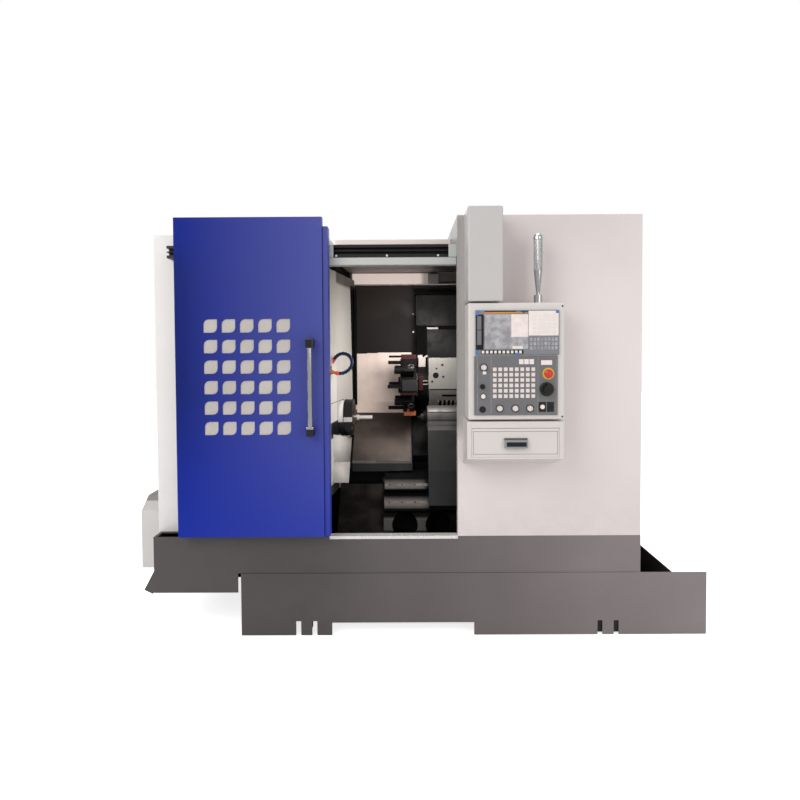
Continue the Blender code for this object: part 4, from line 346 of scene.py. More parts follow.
def grime_group() -> bpy.types.NodeTree:
    """Mask of dust and oil that gathers below a height, broken up by noise.

    Returns:
        The group, with the output Mask.
    """
    sizes = {"Height": 0.6, "Reach": 0.2, "Amount": 0.3}
    nodes, (place, height, reach, amount, _), out = new_group("grime", ["Vector"], sizes, ["Mask"])
    above = nodes.math("SUBTRACT", nodes.parts(place)[2], height)
    fade = nodes.math("SUBTRACT", 1.0, nodes.math("DIVIDE", above, reach), clamp=True)
    rough = noise(nodes, place, scale=14.0, detail=6.0, roughness=0.65)
    broken = nodes.math("MULTIPLY", fade, nodes.band(rough, low=0.35, high=0.7))
    nodes.set(out, 0, nodes.math("MULTIPLY", broken, amount, clamp=True))
    return nodes.tree


def skin_group() -> bpy.types.NodeTree:
    """Height of sprayed paint's soft waviness, or of a casting's sand skin.

    Returns:
        The group, with the output Height.
    """
    nodes, (place, fineness, _), out = new_group("skin", ["Vector"], {"Fineness": 420.0}, ["Height"])
    nodes.set(out, 0, noise(nodes, place, fineness, detail=2.0))
    return nodes.tree


def zone_group() -> bpy.types.NodeTree:
    """Mask that is 1 inside a box and fades over its soft edge.

    Returns:
        The group, with the output Mask.
    """
    vectors = ["Vector", "Low", "High"]
    nodes, inputs, out = new_group("zone", vectors, {"Soft": 0.001}, ["Mask"])
    spot, low, high = (nodes.parts(inputs[index]) for index in range(3))
    mask: object = 1.0
    for axis in range(3):
        for far, near in ((spot[axis], low[axis]), (high[axis], spot[axis])):
            over = nodes.math("DIVIDE", nodes.math("SUBTRACT", far, near), inputs[3])
            side = nodes.math("ADD", over, 0.5, clamp=True)
            mask = nodes.math("MULTIPLY", mask, side)
    nodes.set(out, 0, mask)
    return nodes.tree


@dataclass
class Effects:
    """The shared node groups, each built once."""

    mottle: bpy.types.NodeTree = field(default_factory=mottle_group)
    grime: bpy.types.NodeTree = field(default_factory=grime_group)
    skin: bpy.types.NodeTree = field(default_factory=skin_group)
    zone: bpy.types.NodeTree = field(default_factory=zone_group)
    grains: dict[Axis, bpy.types.NodeTree] = field(
        default_factory=lambda: {axis: grain_group(axis) for axis in Axis}
    )


@dataclass(frozen=True)
class Zone:
    """A box, in the CAD's frame, in which a surface takes another colour.

    Attributes:
        low: its lowest corner.
        high: its highest corner.
        colour: the colour inside it.
        soft: width over which its edges fade.
        amount: how much of the colour it brings.
        metal: how metallic the surface is there, or None for no change.
    """

    low: Point
    high: Point
    colour: Colour
    soft: float = 0.001
    amount: float = 1.0
    metal: float | None = None


@dataclass(frozen=True)
class Finish:
    """One surface finish, from which a procedural material is made.

    Attributes:
        name: the material's name.
        colour: main linear colour.
        shade: second colour that clouds and specks bring in.
        kind: how it reflects light.
        roughness: mean roughness.
        spread: how far roughness varies over the surface.
        clouds: share of the shade in large clouds.
        specks: share of the shade in fine specks.
        cloud_size: scale of the clouds.
        bump: strength of the surface's fine relief.
        fineness: scale of that relief.
        brushed: axis of brushing, or None.
        grime: how much dust gathers low down.
        grime_height: height below which it gathers.
        coat: clear coat over paint.
        spec: the shader's specular level.
        glow: strength of its own light.
    """

    name: str
    colour: Colour
    shade: Colour
    kind: Kind = Kind.PAINT
    roughness: float = 0.4
    spread: float = 0.08
    clouds: float = 0.25
    specks: float = 0.1
    cloud_size: float = 3.0
    bump: float = 0.05
    fineness: float = 420.0
    brushed: Axis | None = None
    grime: float = 0.0
    grime_height: float = 0.55
    coat: float = 0.0
    spec: float = 0.5
    glow: float = 0.0

    def build(self, effects: Effects, zones: Sequence[Zone] = ()) -> bpy.types.Material:
        """Makes the material.

        Args:
            effects: the shared node groups.
            zones: boxes in which the surface takes another colour.

        Returns:
            The new material.
        """
        material = bpy.data.materials.new(self.name)
        material.use_nodes = True
        nodes = Nodes(material.node_tree)
        shader = material.node_tree.nodes["Principled BSDF"]
        place = nodes.place()
        mottle = self.group(nodes, effects.mottle, place)
        nodes.set(mottle, "Cloud Size", self.cloud_size)
        share = nodes.math(
            "ADD",
            nodes.math("MULTIPLY", mottle.outputs[0], self.clouds),
            nodes.math("MULTIPLY", mottle.outputs[1], self.specks),
        )
        height = self.group(nodes, effects.skin, place)
        nodes.set(height, "Fineness", self.fineness)
        relief: object = height.outputs[0]
        if self.brushed is not None:
            lines = self.group(nodes, effects.grains[self.brushed], place)
            share = nodes.math("ADD", share, nodes.math("MULTIPLY", lines.outputs[0], GRAIN_SHARE))
            relief = lines.outputs[0]
        colour = nodes.blend(share, self.colour, self.shade)
        if self.grime > 0:
            dirt = self.group(nodes, effects.grime, place)
            nodes.set(dirt, "Height", self.grime_height)
            nodes.set(dirt, "Amount", self.grime)
            colour = nodes.blend(dirt.outputs[0], colour, DUST)
        shade = nodes.math("SUBTRACT", 1.0, nodes.math("MULTIPLY", share, ZONE_SHADE))
        metal: object = self.kind.metallic
        for zone in zones:
            mask = self.group(nodes, effects.zone, place)
            nodes.set(mask, "Low", zone.low)
            nodes.set(mask, "High", zone.high)
            nodes.set(mask, "Soft", zone.soft)
            weight = nodes.math("MULTIPLY", mask.outputs[0], zone.amount)
            toned = nodes.add("ShaderNodeVectorMath", operation="SCALE")
            nodes.set(toned, 0, zone.colour)
            nodes.set(toned, "Scale", shade)
            colour = nodes.blend(weight, colour, toned.outputs[0])
            if zone.metal is not None:
                step = nodes.math("SUBTRACT", zone.metal, metal)
                metal = nodes.math("MULTIPLY_ADD", step, mask.outputs[0], metal)
        nodes.set(shader, "Base Color", colour)
        nodes.set(shader, "Metallic", metal)
        low = max(self.roughness - self.spread, 0.02)
        nodes.set(shader, "Roughness", nodes.band(share, 0.0, 0.6, low, self.roughness + self.spread))
        bump = nodes.add("ShaderNodeBump", Strength=self.bump, Distance=RELIEF)
        nodes.set(bump, "Height", relief)
        nodes.set(shader, "Normal", bump.outputs[0])
        self.shine(shader)
        if self.glow > 0:
            nodes.set(shader, "Emission Color", colour)
            shader.inputs["Emission Strength"].default_value = self.glow
        return material

    @staticmethod
    def group(nodes: Nodes, tree: bpy.types.NodeTree, place: object) -> bpy.types.Node:
        """Places a shared group.

        Args:
            nodes: the material's nodes.
            tree: the group.
            place: the surface's place, which feeds it.

        Returns:
            The group's node.
        """
        made = nodes.add("ShaderNodeGroup", node_tree=tree)
        nodes.set(made, "Vector", place)
        return made

    def tinted(self, name: str, colour: Colour, shade: Colour) -> "Finish":
        """Same surface in two other colours."""
        return replace(self, name=name, colour=colour, shade=shade)

    def shine(self, shader: bpy.types.Node) -> None:
        """Sets the plain values that are the same all over the surface.

        Args:
            shader: the material's shader node.
        """
        shader.inputs["Specular IOR Level"].default_value = self.spec
        shader.inputs["Coat Weight"].default_value = self.coat
        shader.inputs["Coat Roughness"].default_value = 0.06
        if self.kind is Kind.CLEAR:
            shader.inputs["Transmission Weight"].default_value = 0.9
            shader.inputs["IOR"].default_value = 1.45


@dataclass(frozen=True)
class Palette:
    """Every finish on the machine."""

    white: Finish = Finish(
        "white_paint", srgb(238, 234, 231), srgb(229, 225, 222),
        roughness=0.45, clouds=0.5, cloud_size=1.6, grime=0.06, coat=0.06,
    )
    inner_white: Finish = Finish(
        "inner_white", srgb(226, 221, 216), srgb(212, 206, 200),
        roughness=0.48, clouds=0.6, cloud_size=2.6, grime=0.2, grime_height=0.9,
    )
    guard: Finish = inner_white.tinted("guard_white", srgb(206, 200, 194), srgb(194, 188, 182))
    roof: Finish = white.tinted("roof_paint", srgb(240, 226, 221), srgb(228, 214, 208))
    sleeve: Finish = replace(white, name="sleeve_white")
    cabinet: Finish = Finish(
        "cabinet_white", srgb(219, 210, 208), srgb(209, 200, 198),
        roughness=0.45, clouds=0.6, specks=0.08, cloud_size=1.1, grime=0.06, coat=0.06,
    )
    box_grey: Finish = Finish(
        "box_grey", srgb(209, 203, 199), srgb(200, 194, 190),
        roughness=0.45, clouds=0.4, coat=0.05,
    )
    side_grey: Finish = box_grey.tinted("side_grey", srgb(215, 212, 209), srgb(206, 203, 200))
    column_grey: Finish = box_grey.tinted("column_grey", srgb(186, 183, 181), srgb(178, 175, 173))
    base: Finish = Finish(
        "base_grey", srgb(78, 74, 73), srgb(70, 66, 65), roughness=0.5,
        clouds=0.6, specks=0.12, cloud_size=2.2, grime=0.12, grime_height=0.1, spec=0.35,
    )
    blue: Finish = Finish(
        "door_blue", srgb(16, 32, 118), srgb(22, 40, 128), roughness=0.5,
        clouds=0.5, specks=0.05, cloud_size=1.3, spec=0.08,
    )
    steel: Finish = Finish(
        "beam_steel", srgb(196, 197, 194), srgb(176, 176, 173), Kind.SATIN,
        roughness=0.36, brushed=Axis.X, bump=0.06,
    )
    ground: Finish = Finish(
        "ground_steel", srgb(150, 148, 145), srgb(96, 93, 90), Kind.METAL,
        roughness=0.34, clouds=0.5, cloud_size=9.0, brushed=Axis.X, bump=0.08,
    )
    bright: Finish = Finish(
        "bright_steel", srgb(226, 224, 221), srgb(196, 192, 188), Kind.SATIN,
        roughness=0.24, clouds=0.3, cloud_size=20.0, brushed=Axis.X,
    )
    jaw: Finish = bright.tinted("jaw_steel", srgb(96, 84, 78), srgb(54, 45, 42))
    lining: Finish = Finish(
        "stained_lining", srgb(37, 25, 20), srgb(23, 15, 12), Kind.SATIN,
        roughness=0.5, clouds=0.8, cloud_size=3.4, brushed=Axis.Z, bump=0.06,
    )
    cover: Finish = Finish(
        "stained_cover", srgb(96, 84, 77), srgb(66, 58, 53), Kind.SATIN,
        roughness=0.4, clouds=0.9, cloud_size=7.0, brushed=Axis.Z, bump=0.06,
    )
    casting: Finish = Finish(
        "casting", srgb(24, 23, 22), srgb(12, 11, 11), roughness=0.6,
        clouds=0.7, specks=0.4, cloud_size=12.0, bump=0.3, fineness=240.0, spec=0.08,
    )
    way: Finish = Finish(
        "hardened_way", srgb(128, 120, 116), srgb(84, 79, 76), Kind.PLASTIC,
        roughness=0.6, clouds=0.8, cloud_size=11.0, brushed=Axis.X,
    )
    iron: Finish = Finish(
        "dark_iron", srgb(28, 25, 24), srgb(13, 12, 11), Kind.SATIN,
        roughness=0.5, clouds=0.6, cloud_size=16.0,
    )
    tail_iron: Finish = iron.tinted("tail_iron", srgb(92, 88, 86), srgb(64, 60, 58))
    black: Finish = Finish(
        "black_paint", srgb(26, 25, 25), srgb(13, 13, 13), roughness=0.45,
        clouds=0.5, cloud_size=8.0, spec=0.35,
    )
    pan: Finish = Finish(
        "oily_pan", srgb(38, 33, 30), srgb(14, 12, 11), roughness=0.5,
        clouds=0.9, specks=0.4, cloud_size=9.0, spec=0.08,
    )
    black_steel: Finish = Finish(
        "black_steel", srgb(30, 27, 27), srgb(12, 11, 11), Kind.SATIN,
        roughness=0.38, clouds=0.6, cloud_size=24.0,
    )
    rubber: Finish = Finish(
        "black_rubber", srgb(18, 18, 18), srgb(9, 9, 9), Kind.PLASTIC, roughness=0.65, spec=0.3
    )
    chrome: Finish = Finish(
        "chrome", srgb(196, 196, 198), srgb(168, 168, 172), Kind.METAL,
        roughness=0.12, spread=0.04, clouds=0.2, bump=0.01,
    )
    void: Finish = Finish(
        "deep_black", srgb(9, 9, 9), srgb(4, 4, 4), roughness=0.7, clouds=0.4, spec=0.1
    )
    tool_black: Finish = Finish(
        "tool_black", srgb(13, 11, 11), srgb(6, 5, 5), roughness=0.6,
        clouds=0.6, cloud_size=24.0, spec=0.12,
    )
    plate_grey: Finish = Finish(
        "plate_grey", srgb(34, 33, 35), srgb(22, 21, 23), roughness=0.5, clouds=0.5, spec=0.25
    )
    red: Finish = Finish(
        "dark_red_paint", srgb(58, 9, 11), srgb(32, 5, 7), roughness=0.5, spec=0.2,
        clouds=0.7, cloud_size=26.0,
    )
    housing: Finish = Finish(
        "housing_grey", srgb(168, 163, 157), srgb(146, 141, 135), roughness=0.45,
        clouds=0.6, cloud_size=9.0, specks=0.2,
    )
    housing_sheet: Finish = housing.tinted("housing_sheet", srgb(110, 107, 103), srgb(98, 95, 91))
    dark_housing: Finish = Finish(
        "housing_dark", srgb(34, 31, 30), srgb(20, 18, 18), roughness=0.5,
        clouds=0.7, specks=0.2, cloud_size=9.0, spec=0.2,
    )
    brass: Finish = Finish(
        "brass", srgb(190, 140, 62), srgb(140, 96, 40), Kind.SATIN,
        roughness=0.3, clouds=0.4, cloud_size=30.0,
    )
    copper: Finish = Finish(
        "copper_plate", srgb(190, 104, 56), srgb(146, 76, 42), Kind.SATIN,
        roughness=0.36, clouds=0.5, cloud_size=40.0,
    )
    hose: Finish = Finish(
        "hose_blue", srgb(12, 34, 70), srgb(6, 18, 42), Kind.PLASTIC, roughness=0.4, spec=0.3
    )
    panel: Finish = Finish(
        "panel_grey", srgb(110, 109, 111), srgb(99, 98, 100), roughness=0.5,
        clouds=0.3, specks=0.25, spec=0.35,
    )
    display: Finish = Finish(
        "display_grey", srgb(126, 128, 132), srgb(106, 108, 112), Kind.PLASTIC,
        roughness=0.4, clouds=0.5, cloud_size=8.0,
    )
    screen: Finish = Finish(
        "screen_glass", srgb(182, 180, 182), srgb(138, 137, 141), Kind.PLASTIC,
        roughness=0.16, clouds=0.9, specks=0.3, cloud_size=26.0, bump=0.01, coat=0.3,
    )
    keypad: Finish = Finish(
        "keypad_pale", srgb(233, 221, 218), srgb(216, 204, 201), Kind.PLASTIC,
        roughness=0.4, clouds=0.5, cloud_size=30.0,
    )
    knob: Finish = Finish(
        "knob_white", srgb(226, 218, 213), srgb(204, 196, 191), Kind.PLASTIC, roughness=0.4
    )
    tab: Finish = knob.tinted("tab_blue", srgb(72, 118, 190), srgb(58, 100, 172))
    amber: Finish = knob.tinted("bar_amber", srgb(196, 136, 46), srgb(176, 116, 34))
    orange: Finish = knob.tinted("hose_orange", srgb(224, 84, 44), srgb(196, 62, 30))
    stop: Finish = Finish(
        "stop_red", srgb(208, 34, 48), srgb(172, 22, 34), Kind.PLASTIC, roughness=0.34, coat=0.2
    )
    milky: Finish = Finish(
        "milky_plastic", srgb(224, 214, 209), srgb(198, 188, 182), Kind.PLASTIC, roughness=0.42
    )
    fitting: Finish = milky.tinted("fitting_white", srgb(158, 147, 142), srgb(138, 127, 122))
    lamp: Finish = Finish(
        "lamp_clear", srgb(228, 230, 230), srgb(214, 216, 216), Kind.CLEAR,
        roughness=0.06, spread=0.02, clouds=0.1, bump=0.01,
    )
    pane: Finish = Finish(
        "pane", srgb(186, 180, 176), srgb(166, 160, 155), Kind.PLASTIC,
        roughness=0.34, clouds=0.6, cloud_size=5.0, coat=0.1,
    )
    glow: Finish = Finish(
        "work_light_glow", srgb(226, 210, 203), srgb(208, 194, 187), roughness=0.5, glow=0.45
    )


@dataclass
class Piece:
    """One small mesh that is added up from simple solids and then finished.

    Attributes:
        name: the object's name.
        body: the CAD body that it rides on.
        bevel: width of its rounded edges, or 0.
        thick: thickness given to its open sheets, or 0.
    """

    name: str
    body: str = BODY
    bevel: float = 0.0
    thick: float = 0.0
    mesh: bmesh.types.BMesh = field(default_factory=bmesh.new)

    def box(self, low: Sequence[float], high: Sequence[float]) -> None:
        """Adds a block.

        Args:
            low: its lowest corner.
            high: its highest corner.
        """
        size = Vector(high) - Vector(low)
        middle = (Vector(high) + Vector(low)) / 2
        place = Matrix.Translation(middle) @ Matrix.Diagonal((*size, 1.0))
        bmesh.ops.create_cube(self.mesh, size=1.0, matrix=place)

    def prism(self, outline: Sequence[Pair], left: float, right: float) -> None:
        """Adds a solid of one outline, drawn from left to right.

        Args:
            outline: its depths and heights.
            left: where it starts.
            right: where it ends.
        """
        rings = [
            [self.mesh.verts.new((across, depth, height)) for depth, height in outline]
            for across in (left, right)
        ]
        self.skin(rings, rings[0], rings[1])

    def sheet(self, *corners: Sequence[float]) -> None:
        """Adds one open face, which the piece's thickness makes solid."""
        self.mesh.faces.new([self.mesh.verts.new(corner) for corner in corners])

    def skin(self, rings: list, first: list | None, last: list | None) -> None:
        """Joins rings of vertices with faces, and closes the two ends where given.

        Args:
            rings: the rings, each with the same number of vertices.
            first: the ring that closes the start, or None.
            last: the ring that closes the end, or None.
        """
        count = len(rings[0])
        for below, above in zip(rings, rings[1:]):
            for step in range(count):
                after = (step + 1) % count
                self.mesh.faces.new((below[step], below[after], above[after], above[step]))
        if first is not None:
            self.mesh.faces.new(list(reversed(first)))
        if last is not None:
            self.mesh.faces.new(last)

    def circle(self, place: Matrix, height: float, radius: float, sides: int) -> list:
        """Vertices in a circle around a place's upward axis.

        Args:
            place: the place and its turn.
            height: how far up the axis the circle lies.
            radius: its radius.
            sides: how many vertices it has.

        Returns:
            The vertices.
        """
        angles = [math.tau * step / sides for step in range(sides)]
        return [
            self.mesh.verts.new(place @ Vector((radius * math.cos(angle), radius * math.sin(angle), height)))
            for angle in angles
        ]

    def turned(
        self,
        start: Sequence[float],
        along: Sequence[float],
        profile: Sequence[Pair],
        sides: int = 32,
        ends: bool = True,
    ) -> None:
        """Adds a turned solid.

        Args:
            start: the place of distance 0 on its axis.
            along: the axis.
            profile: (distance, radius) from one end to the other.
            sides: how many sides it has.
            ends: whether the two ends are closed.
        """
        turn = Vector(along).normalized().to_track_quat("Z", "Y").to_matrix().to_4x4()
        place = Matrix.Translation(Vector(start)) @ turn
        rings = [self.circle(place, distance, radius, sides) for distance, radius in profile]
        if not ends:
            rings.append(rings[0])
        self.skin(rings, rings[0] if ends else None, rings[-1] if ends else None)

    def ring(
        self,
        start: Sequence[float],
        along: Sequence[float],
        inner: float,
        outer: float,
        thick: float,
        sides: int = 32,
    ) -> None:
        """Adds a flat ring with a hole through it.

        Args:
            start: the middle of its back face.
            along: the axis.
            inner: radius of the hole.
            outer: outer radius.
            thick: its thickness along the axis.
            sides: how many sides it has.
        """
        profile = ((0.0, inner), (0.0, outer), (thick, outer), (thick, inner))
        self.turned(start, along, profile, sides, ends=False)

    def screw(self, start: Sequence[float], along: Sequence[float], radius: float) -> None:
        """Adds a socket screw's round head with a dished middle.

        Args:
            start: the place under its head.
            along: the way that it faces.
            radius: its head's radius.
        """
        profile = (
            (-0.001, radius),
            (radius * 0.28, radius),
            (radius * 0.4, radius * 0.86),
            (radius * 0.4, radius * 0.45),
            (radius * 0.12, radius * 0.4),
        )
        self.turned(start, along, profile, 20)

    def loft(self, path: Sequence[Sequence[float]], radii: Sequence[float], sides: int = 14) -> None:
        """Adds a round bar along a path, with a radius at each point.

        Args:
            path: the points.
            radii: the radius at each point.
            sides: how many sides it has.
        """
        spots = [Vector(point) for point in path]
        rings = []
        for index, (spot, radius) in enumerate(zip(spots, radii)):
            before = spots[max(index - 1, 0)]
            after = spots[min(index + 1, len(spots) - 1)]
            turn = (after - before).normalized().to_track_quat("Z", "Y").to_matrix().to_4x4()
            rings.append(self.circle(Matrix.Translation(spot) @ turn, 0.0, radius, sides))
        self.skin(rings, rings[0], rings[-1])

    def finish(self, material: bpy.types.Material) -> bpy.types.Object:
        """Makes the object, gives it its material, and lets it ride on its body.

        Args:
            material: the material.

        Returns:
            The new object.
        """
        bmesh.ops.recalc_face_normals(self.mesh, faces=self.mesh.faces)
        mesh = bpy.data.meshes.new(self.name)
        self.mesh.to_mesh(mesh)
        self.mesh.free()
        mesh.materials.append(material)
        made = bpy.data.objects.new(self.name, mesh)
        bpy.context.scene.collection.objects.link(made)
        if self.thick > 0:
            solid = made.modifiers.new("sheet", "SOLIDIFY")
            solid.thickness = self.thick
        if self.bevel > 0:
            bevel = made.modifiers.new("rounded", "BEVEL")
            bevel.width = self.bevel
            bevel.segments = BEVEL_STEPS
            bevel.limit_method = "ANGLE"
        mesh.shade_smooth()
        mesh.set_sharp_from_angle(angle=SHARP_ANGLE)
        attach(made, self.body)
        LOG.info("%s rides on %s with %d faces", self.name, self.body, len(mesh.polygons))
        return made


def curve_points(points: Sequence[Point], steps: int) -> list[Vector]:
    """Points on a smooth curve through the given points.

    Args:
        points: the points that the curve passes through.
        steps: how many stretches lie between two of them.

    Returns:
        The curve's points in order.
    """
    spots = [Vector(point) for point in points]
    spots = [spots[0] * 2 - spots[1], *spots, spots[-1] * 2 - spots[-2]]
    curve = []
    for first, second, third, fourth in zip(spots, spots[1:], spots[2:], spots[3:]):
        for step in range(steps):
            share = step / steps
            bend = (third - first) * share
            bend += (first * 2 - second * 5 + third * 4 - fourth) * share**2
            bend += (second * 3 - first - third * 3 + fourth) * share**3
            curve.append(second + bend / 2)
    curve.append(spots[-2])
    return curve


@dataclass
class Shop:
    """What every sub-assembly needs: the loaded frame, the finishes and the built materials."""

    frame: dict
    palette: Palette = field(default_factory=Palette)
    effects: Effects = field(default_factory=Effects)
    made: dict[str, bpy.types.Material] = field(default_factory=dict)

    def paint(self, finish: Finish, zones: Sequence[Zone] = ()) -> bpy.types.Material:
        """Material of a finish, which is built once where it has no zones.

        Args:
            finish: the finish.
            zones: parts of the surface that take another colour.

        Returns:
            The material.
        """
        if zones:
            return finish.build(self.effects, zones)
        if finish.name not in self.made:
            self.made[finish.name] = finish.build(self.effects)
        return self.made[finish.name]

    def dress(
        self, node: str, finish: Finish, bevel: float = 0.0, zones: Sequence[Zone] = ()
    ) -> bpy.types.Object:
        """Gives a CAD node its material and, where asked, softly rounded edges.

        Args:
            node: the CAD node's name.
            finish: the finish to build its material from.
            bevel: width of the rounded edges, or 0 for none.
            zones: parts of the surface that take another colour.

        Returns:
            The CAD node's object.
        """
        made = self.frame["nodes"][node]
        if zones:
            finish = replace(finish, name=f"{finish.name}_{node}")
        chosen = self.paint(finish, zones)
        made.data.materials.clear()
        made.data.materials.append(chosen)
        if bevel > 0:
            weld = made.modifiers.new("weld", "WELD")
            weld.merge_threshold = WELD_REACH
            flat = made.modifiers.new("flat_faces", "DECIMATE")
            flat.decimate_type = "DISSOLVE"
            flat.angle_limit = FLAT_ANGLE
            rounded = made.modifiers.new("rounded", "BEVEL")
            rounded.width = bevel
            rounded.segments = BEVEL_STEPS
            rounded.limit_method = "ANGLE"
            rounded.angle_limit = BEVEL_ANGLE
        LOG.info("dressed %s in %s", node, chosen.name)
        return made


def key_grid(columns: int, rows: int, start: Pair, pitch: Pair, size: Pair) -> list[Tile]:
    """Tiles of one size in columns and rows.

    Args:
        columns: how many stand side by side.
        rows: how many stand one above the other.
        start: left and low edge of the first tile.
        pitch: steps to the next column and row.
        size: width and height of a tile.

    Returns:
        Left, low, right and high of each tile, column by column.
    """
    corners = [
        (start[0] + pitch[0] * column, start[1] + pitch[1] * row)
        for column in range(columns)
        for row in range(rows)
    ]
    return [(left, low, left + size[0], low + size[1]) for left, low in corners]


@dataclass
class Assembly:
    """A sub-assembly, which dresses its CAD nodes and adds small pieces to them.

    Attributes:
        shop: the loaded frame, the finishes and the materials.
        body: the CAD body that its small pieces ride on, where no other is named.
    """

    shop: Shop
    body: str = BODY

    @property
    def colours(self) -> Palette:
        """Every finish on the machine."""
        return self.shop.palette

    def blocks(
        self,
        name: str,
        finish: Finish,
        boxes: Iterable[Box],
        bevel: float = 0.0,
        zones: Sequence[Zone] = (),
        body: str = "",
    ) -> None:
        """Adds one piece that is made of plain blocks.

        Args:
            name: the piece's name.
            finish: its finish.
            boxes: lowest and highest corner of each block.
            bevel: width of its rounded edges.
            zones: parts of it that take another colour.
            body: the body that it rides on, if not the sub-assembly's own.
        """
        piece = Piece(name, body or self.body, bevel)
        for low, high in boxes:
            piece.box(low, high)
        piece.finish(self.shop.paint(finish, zones))

    def rounds(
        self,
        name: str,
        finish: Finish,
        spots: Iterable[tuple[Point, Point, Sequence[Pair]]],
        sides: int,
        body: str = "",
    ) -> None:
        """Adds one piece that is made of turned solids.

        Args:
            name: the piece's name.
            finish: its finish.
            spots: start, axis and profile of each solid.
            sides: how many sides each has.
            body: the body that it rides on, if not the sub-assembly's own.
        """
        piece = Piece(name, body or self.body)
        for start, along, profile in spots:
            piece.turned(start, along, profile, sides)
        piece.finish(self.shop.paint(finish))

    def screws(
        self, name: str, finish: Finish, spots: Iterable[Point], radius: float, along: Point = FRONTWARD
    ) -> None:
        """Adds one piece of socket screws.

        Args:
            name: the piece's name.
            finish: its finish.
            spots: the place of each screw.
            radius: radius of their heads.
            along: the way that they face.
        """
        piece = Piece(name, self.body)
        for spot in spots:
            piece.screw(spot, along, radius)
        piece.finish(self.shop.paint(finish))


@dataclass
class Enclosure(Assembly):
    """White sheet covers, the wall's seal and foot guard, and the header with its track.

    Attributes:
        bevel: width of the covers' rounded edges.
        screw_radius: radius of the track's screw heads.
        screw_places: where those screws sit from left to right.
    """

    bevel: float = 0.0025
    screw_radius: float = 0.0055
    screw_places: tuple[float, ...] = (-0.33, -0.078, 0.176)

    def build(self) -> None:
        """Dresses the covers and adds their small fittings."""
        colours, dress = self.colours, self.shop.dress
        # Painted shade: the left cover is painted darker towards the top.
        top_shade = Zone((-2, -2, 2.0), (2, 2, 3), srgb(226, 226, 221), 0.9)
        dress("left_cover", colours.white, self.bevel, (top_shade,))
        # Painted shade: the cabinet is painted darker towards the top, and its strip beside the control
        # column is painted grey as the column's shadow.
        upper = Zone((-2, -2, 2.0), (2, 2, 3), srgb(198, 189, 188), 1.2)
        corner = Zone((-2, -2, 1.02), (0.318, 2, 3), srgb(146, 147, 143), 0.1, 0.85)
        dress("right_cabinet", colours.cabinet, self.bevel, (upper, corner))
        dress("rear_cover", colours.white)
        dress("roof_panel", colours.roof)
        # Painted shade: the motor cover's sloped facets near its top are painted darker, the upper one most.
        hip_shade = Zone((-2, -2, 0.514), (2, 2, 1), srgb(186, 185, 181), 0.003)
        crown_shade = Zone((-2, -2, 0.566), (2, 2, 1), srgb(126, 123, 120), 0.006)
        dress("motor_cover", colours.side_grey, self.bevel, (hip_shade, crown_shade))
        # Painted shade on the headstock wall: darker towards the top, beyond its fold, at its top back, at
        # its foot below the foot guard, and near black under the chuck.
        high = Zone((-1, -1, 1.36), (1, 1, 2), srgb(174, 170, 162), 0.22, 0.9)
        fold = Zone((-1, -0.345, 1.0), (1, 1, 2), srgb(184, 181, 175), 0.012, 0.7)
        shade = Zone((-1, -0.345, 1.795), (1, 1, 2), srgb(84, 79, 75), 0.02)
        foot = Zone((-1, -1, 0.2), (1, -0.3, 0.722), srgb(60, 55, 52), 0.006)
        under = Zone((-1, -0.47, 0.966), (1, -0.1, 1.05), srgb(12, 11, 11), 0.006)
        line = Zone((-1, -0.5, 1.15), (1, -0.22, 1.154), srgb(104, 99, 94), 0.002)
        dress("headstock_wall", colours.inner_white, 0, (high, fold, shade, foot, under, line))
        dress("header_beam", colours.steel, 0.0015)
        dress("door_track", colours.black, 0.0012)
        dress("door_sill", colours.bright)
        self.track()
        self.seal()
        self.foot_guard()

    def track(self) -> None:
        """Screws and a groove line on the track's front, and brackets that close its ends."""
        low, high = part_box("door_track")
        spots = [(place, low.y + 0.0005, low.z + 0.007) for place in self.screw_places]
        self.screws("track_screws", self.colours.bright, spots, self.screw_radius)
        middle = (low.z + high.z) / 2
        groove = ((low.x + 0.01, low.y - 0.0012, middle), (high.x - 0.004, low.y, middle + 0.004))
        self.blocks("track_groove", self.colours.dark_housing, (groove,), 0.0005)
        ends = [
            ((left, low.y - 0.003, low.z - 0.001), (right, low.y + 0.001, high.z))
            for left, right in ((0.228, high.x), (-0.366, -0.344))
        ]
        self.blocks("track_ends", self.colours.steel, ends, 0.001)

    def seal(self) -> None:
        """Black rubber strip along the wall's inner edge."""
        strip = Piece("wall_seal", thick=0.003)
        strip.sheet(
            (-0.316, -0.01, 1.811), (-0.302, 0.083, 1.82), (-0.302, 0.083, 1.098), (-0.3068, 0.04, 1.104),
        )
        strip.box((-0.3, 0.08, 1.09), (-0.288, 0.11, 1.8))
        strip.finish(self.shop.paint(self.colours.void))

    def foot_guard(self) -> None:
        """Folded white guard below the chuck, with a rubber edge against the Z cover."""
        fold = ((-0.3712, -0.42, 0.837), (-0.2925, -0.34, 0.82))
        guard = Piece("wall_foot_guard", thick=0.0018)
        guard.sheet((-0.372, -0.426, 0.985), (-0.2925, -0.234, 0.941), fold[1], fold[0])
        guard.sheet(*fold, (-0.2925, -0.428, 0.7275), (-0.3762, -0.454, 0.735))
        guard.finish(self.shop.paint(self.colours.guard))
        edge = Piece("wall_foot_seal", thick=0.0018)
        edge.sheet(
            (-0.2915, -0.234, 0.941), (-0.2915, -0.13, 0.92), (-0.2915, -0.333, 0.705),
            (-0.2915, -0.428, 0.7275),
        )
        edge.finish(self.shop.paint(self.colours.void))


